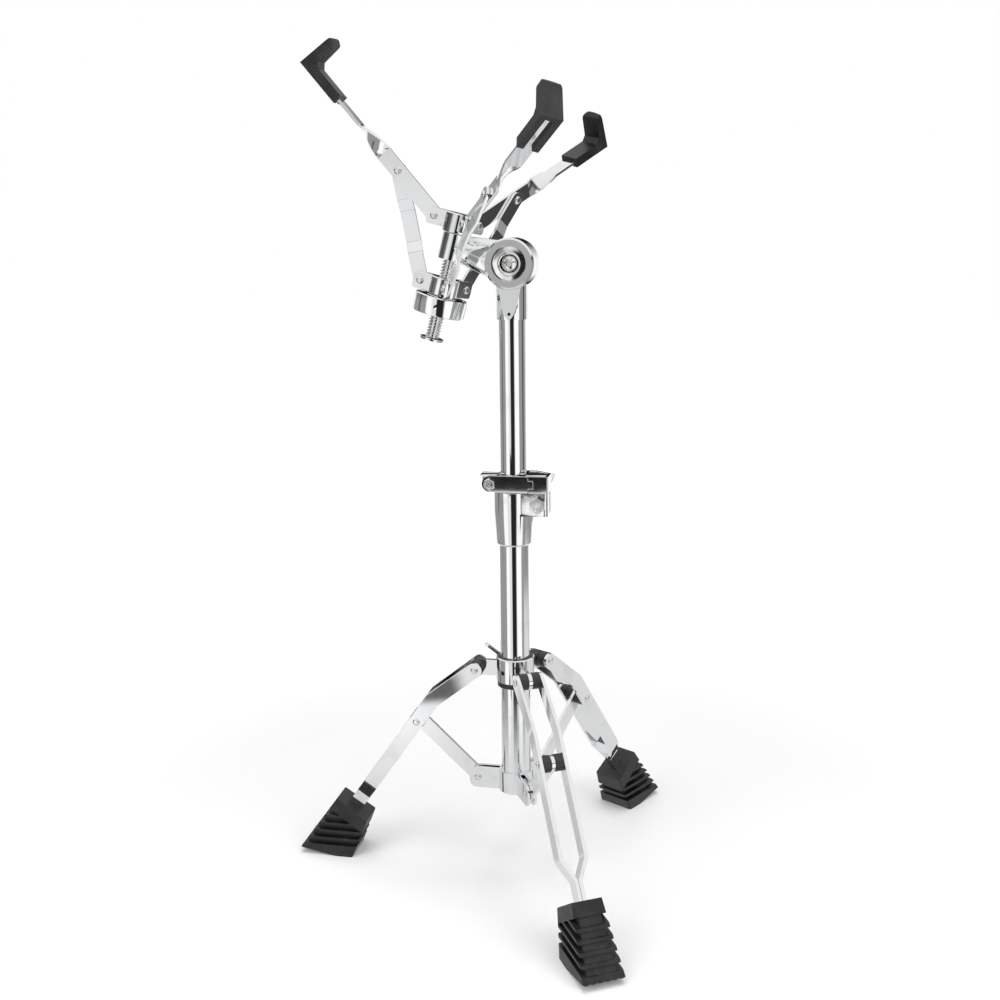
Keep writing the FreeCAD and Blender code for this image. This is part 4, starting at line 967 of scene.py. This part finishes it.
def mirrored_floor(finish, reach):
    """What mirrors see of the floor: white paper under the stand with painted shade close to the pole, then the
    room's walls and their cards.
    """
    turn = turn_from_camera(finish)
    long_paper = finish.window(turn, *LONG_PAPER_TURN) * (1.0 - finish.ramp(reach, *LONG_PAPER_FADE))
    past_paper = finish.ramp(reach, *PAPER_FADE) * (1.0 - long_paper)
    card = finish.window(turn, *FLOOR_CARD_TURN) * finish.window(reach, *FLOOR_CARD_REACH)
    shine = finish.window(turn, *FLOOR_SHINE_TURN) * finish.window(reach, *FLOOR_SHINE_REACH)
    joins = seams(finish, turn) * finish.ramp(reach, *SEAM_FADE)
    beyond = surround(finish, turn) + shine * FLOOR_SHINE_LEVEL
    beyond = beyond * (1.0 - card * FLOOR_CARD_SHADE) * (1.0 - joins)
    elbow_patch = finish.window(turn, *ELBOW_PATCH_TURN) * finish.window(reach, *ELBOW_PATCH_REACH)
    # painted shade on the paper close to the pole, on the stand's left, as mirrors see it
    shade = finish.window(turn, *PAINTED_PAPER_SHADE_TURN) * (1.0 - finish.ramp(reach, *PAINTED_PAPER_SHADE_FADE))
    level = PAPER_LEVEL * (1.0 - past_paper) + beyond * past_paper
    return level * (1.0 - elbow_patch * ELBOW_PATCH_SHADE) * (1.0 - shade * PAINTED_PAPER_SHADE)


def studio_floor():
    """Pale floor: white to the camera apart from the stand's shadow, and its own picture to mirrors."""
    bpy.ops.object.select_all(action="DESELECT")
    bpy.ops.mesh.primitive_plane_add(size=FLOOR_SIZE)
    floor = bpy.context.object
    floor.name = "studio_floor"
    finish = Finish("studio_floor")
    reach = finish.add("ShaderNodeVectorMath", {"operation": "LENGTH"}, {0: finish.place}, "Value")
    far = finish.ramp(reach, *FLOOR_FADE)
    lift = FLOOR_LIFT + far * (1.0 - FLOOR_LIFT)
    finish.set(Base_Color=finish.mix(far, grey(FLOOR_NEAR_TONE), grey(FLOOR_FAR_TONE)))
    finish.set(Roughness=FLOOR_ROUGHNESS, Specular_IOR_Level=0.0)
    finish.set(Emission_Color=finish.light_path("Is Camera Ray") * lift, Emission_Strength=1.0)
    plain = Value(finish.tree, finish.shader.outputs[0])
    mirrored = finish.add("ShaderNodeEmission", None, {"Color": mirrored_floor(finish, reach)})
    sides = {0: finish.light_path("Is Glossy Ray"), 1: plain, 2: mirrored}
    finish.show(finish.add("ShaderNodeMixShader", None, sides), "Material Output")
    paint(floor, finish.material)


def place_camera():
    """Camera of the photograph."""
    data = bpy.data.cameras.new("photo_camera")
    data.sensor_width = SENSOR
    data.lens = FOCAL_PIXELS / PHOTO_PIXELS * SENSOR
    data.clip_start = NEAREST_SEEN
    camera = bpy.data.objects.new("photo_camera", data)
    bpy.context.collection.objects.link(camera)
    bpy.context.scene.camera = camera
    bearing = math.radians(CAMERA_AZIMUTH + CAMERA_TURN)
    pitch = math.radians(CAMERA_PITCH)
    roll = math.radians(CAMERA_ROLL)
    level = Vector((-math.sin(bearing), math.cos(bearing), 0))
    forward = level * math.cos(pitch) - Vector((0, 0, math.sin(pitch)))
    right = forward.cross(Vector((0, 0, 1))).normalized()
    up = right.cross(forward)
    right_turned = right * math.cos(roll) + up * math.sin(roll)
    up_turned = up * math.cos(roll) - right * math.sin(roll)
    turn = Matrix((right_turned, up_turned, -forward)).transposed().to_4x4()
    camera.matrix_world = Matrix.Translation(from_camera(0, CAMERA_DISTANCE, CAMERA_HEIGHT)) @ turn


def build_studio():
    """Light, floor and camera."""
    bpy.context.scene.view_settings.view_transform = "Standard"
    studio_world()
    studio_floor()
    studio_room()
    for name, side in (("softbox_left", -1), ("softbox_right", 1)):
        place = from_camera(side * LAMP_SPREAD, LAMP_DISTANCE, LAMP_HEIGHT)
        softbox(name, place, LAMP_TARGET, LAMP_SIZE, LAMP_POWER)
    softbox("softbox_top", Vector((0, 0, TOP_HEIGHT)), (0, 0, 0), TOP_SIZE, TOP_POWER)
    place_camera()


dress_frame()
build_studio()
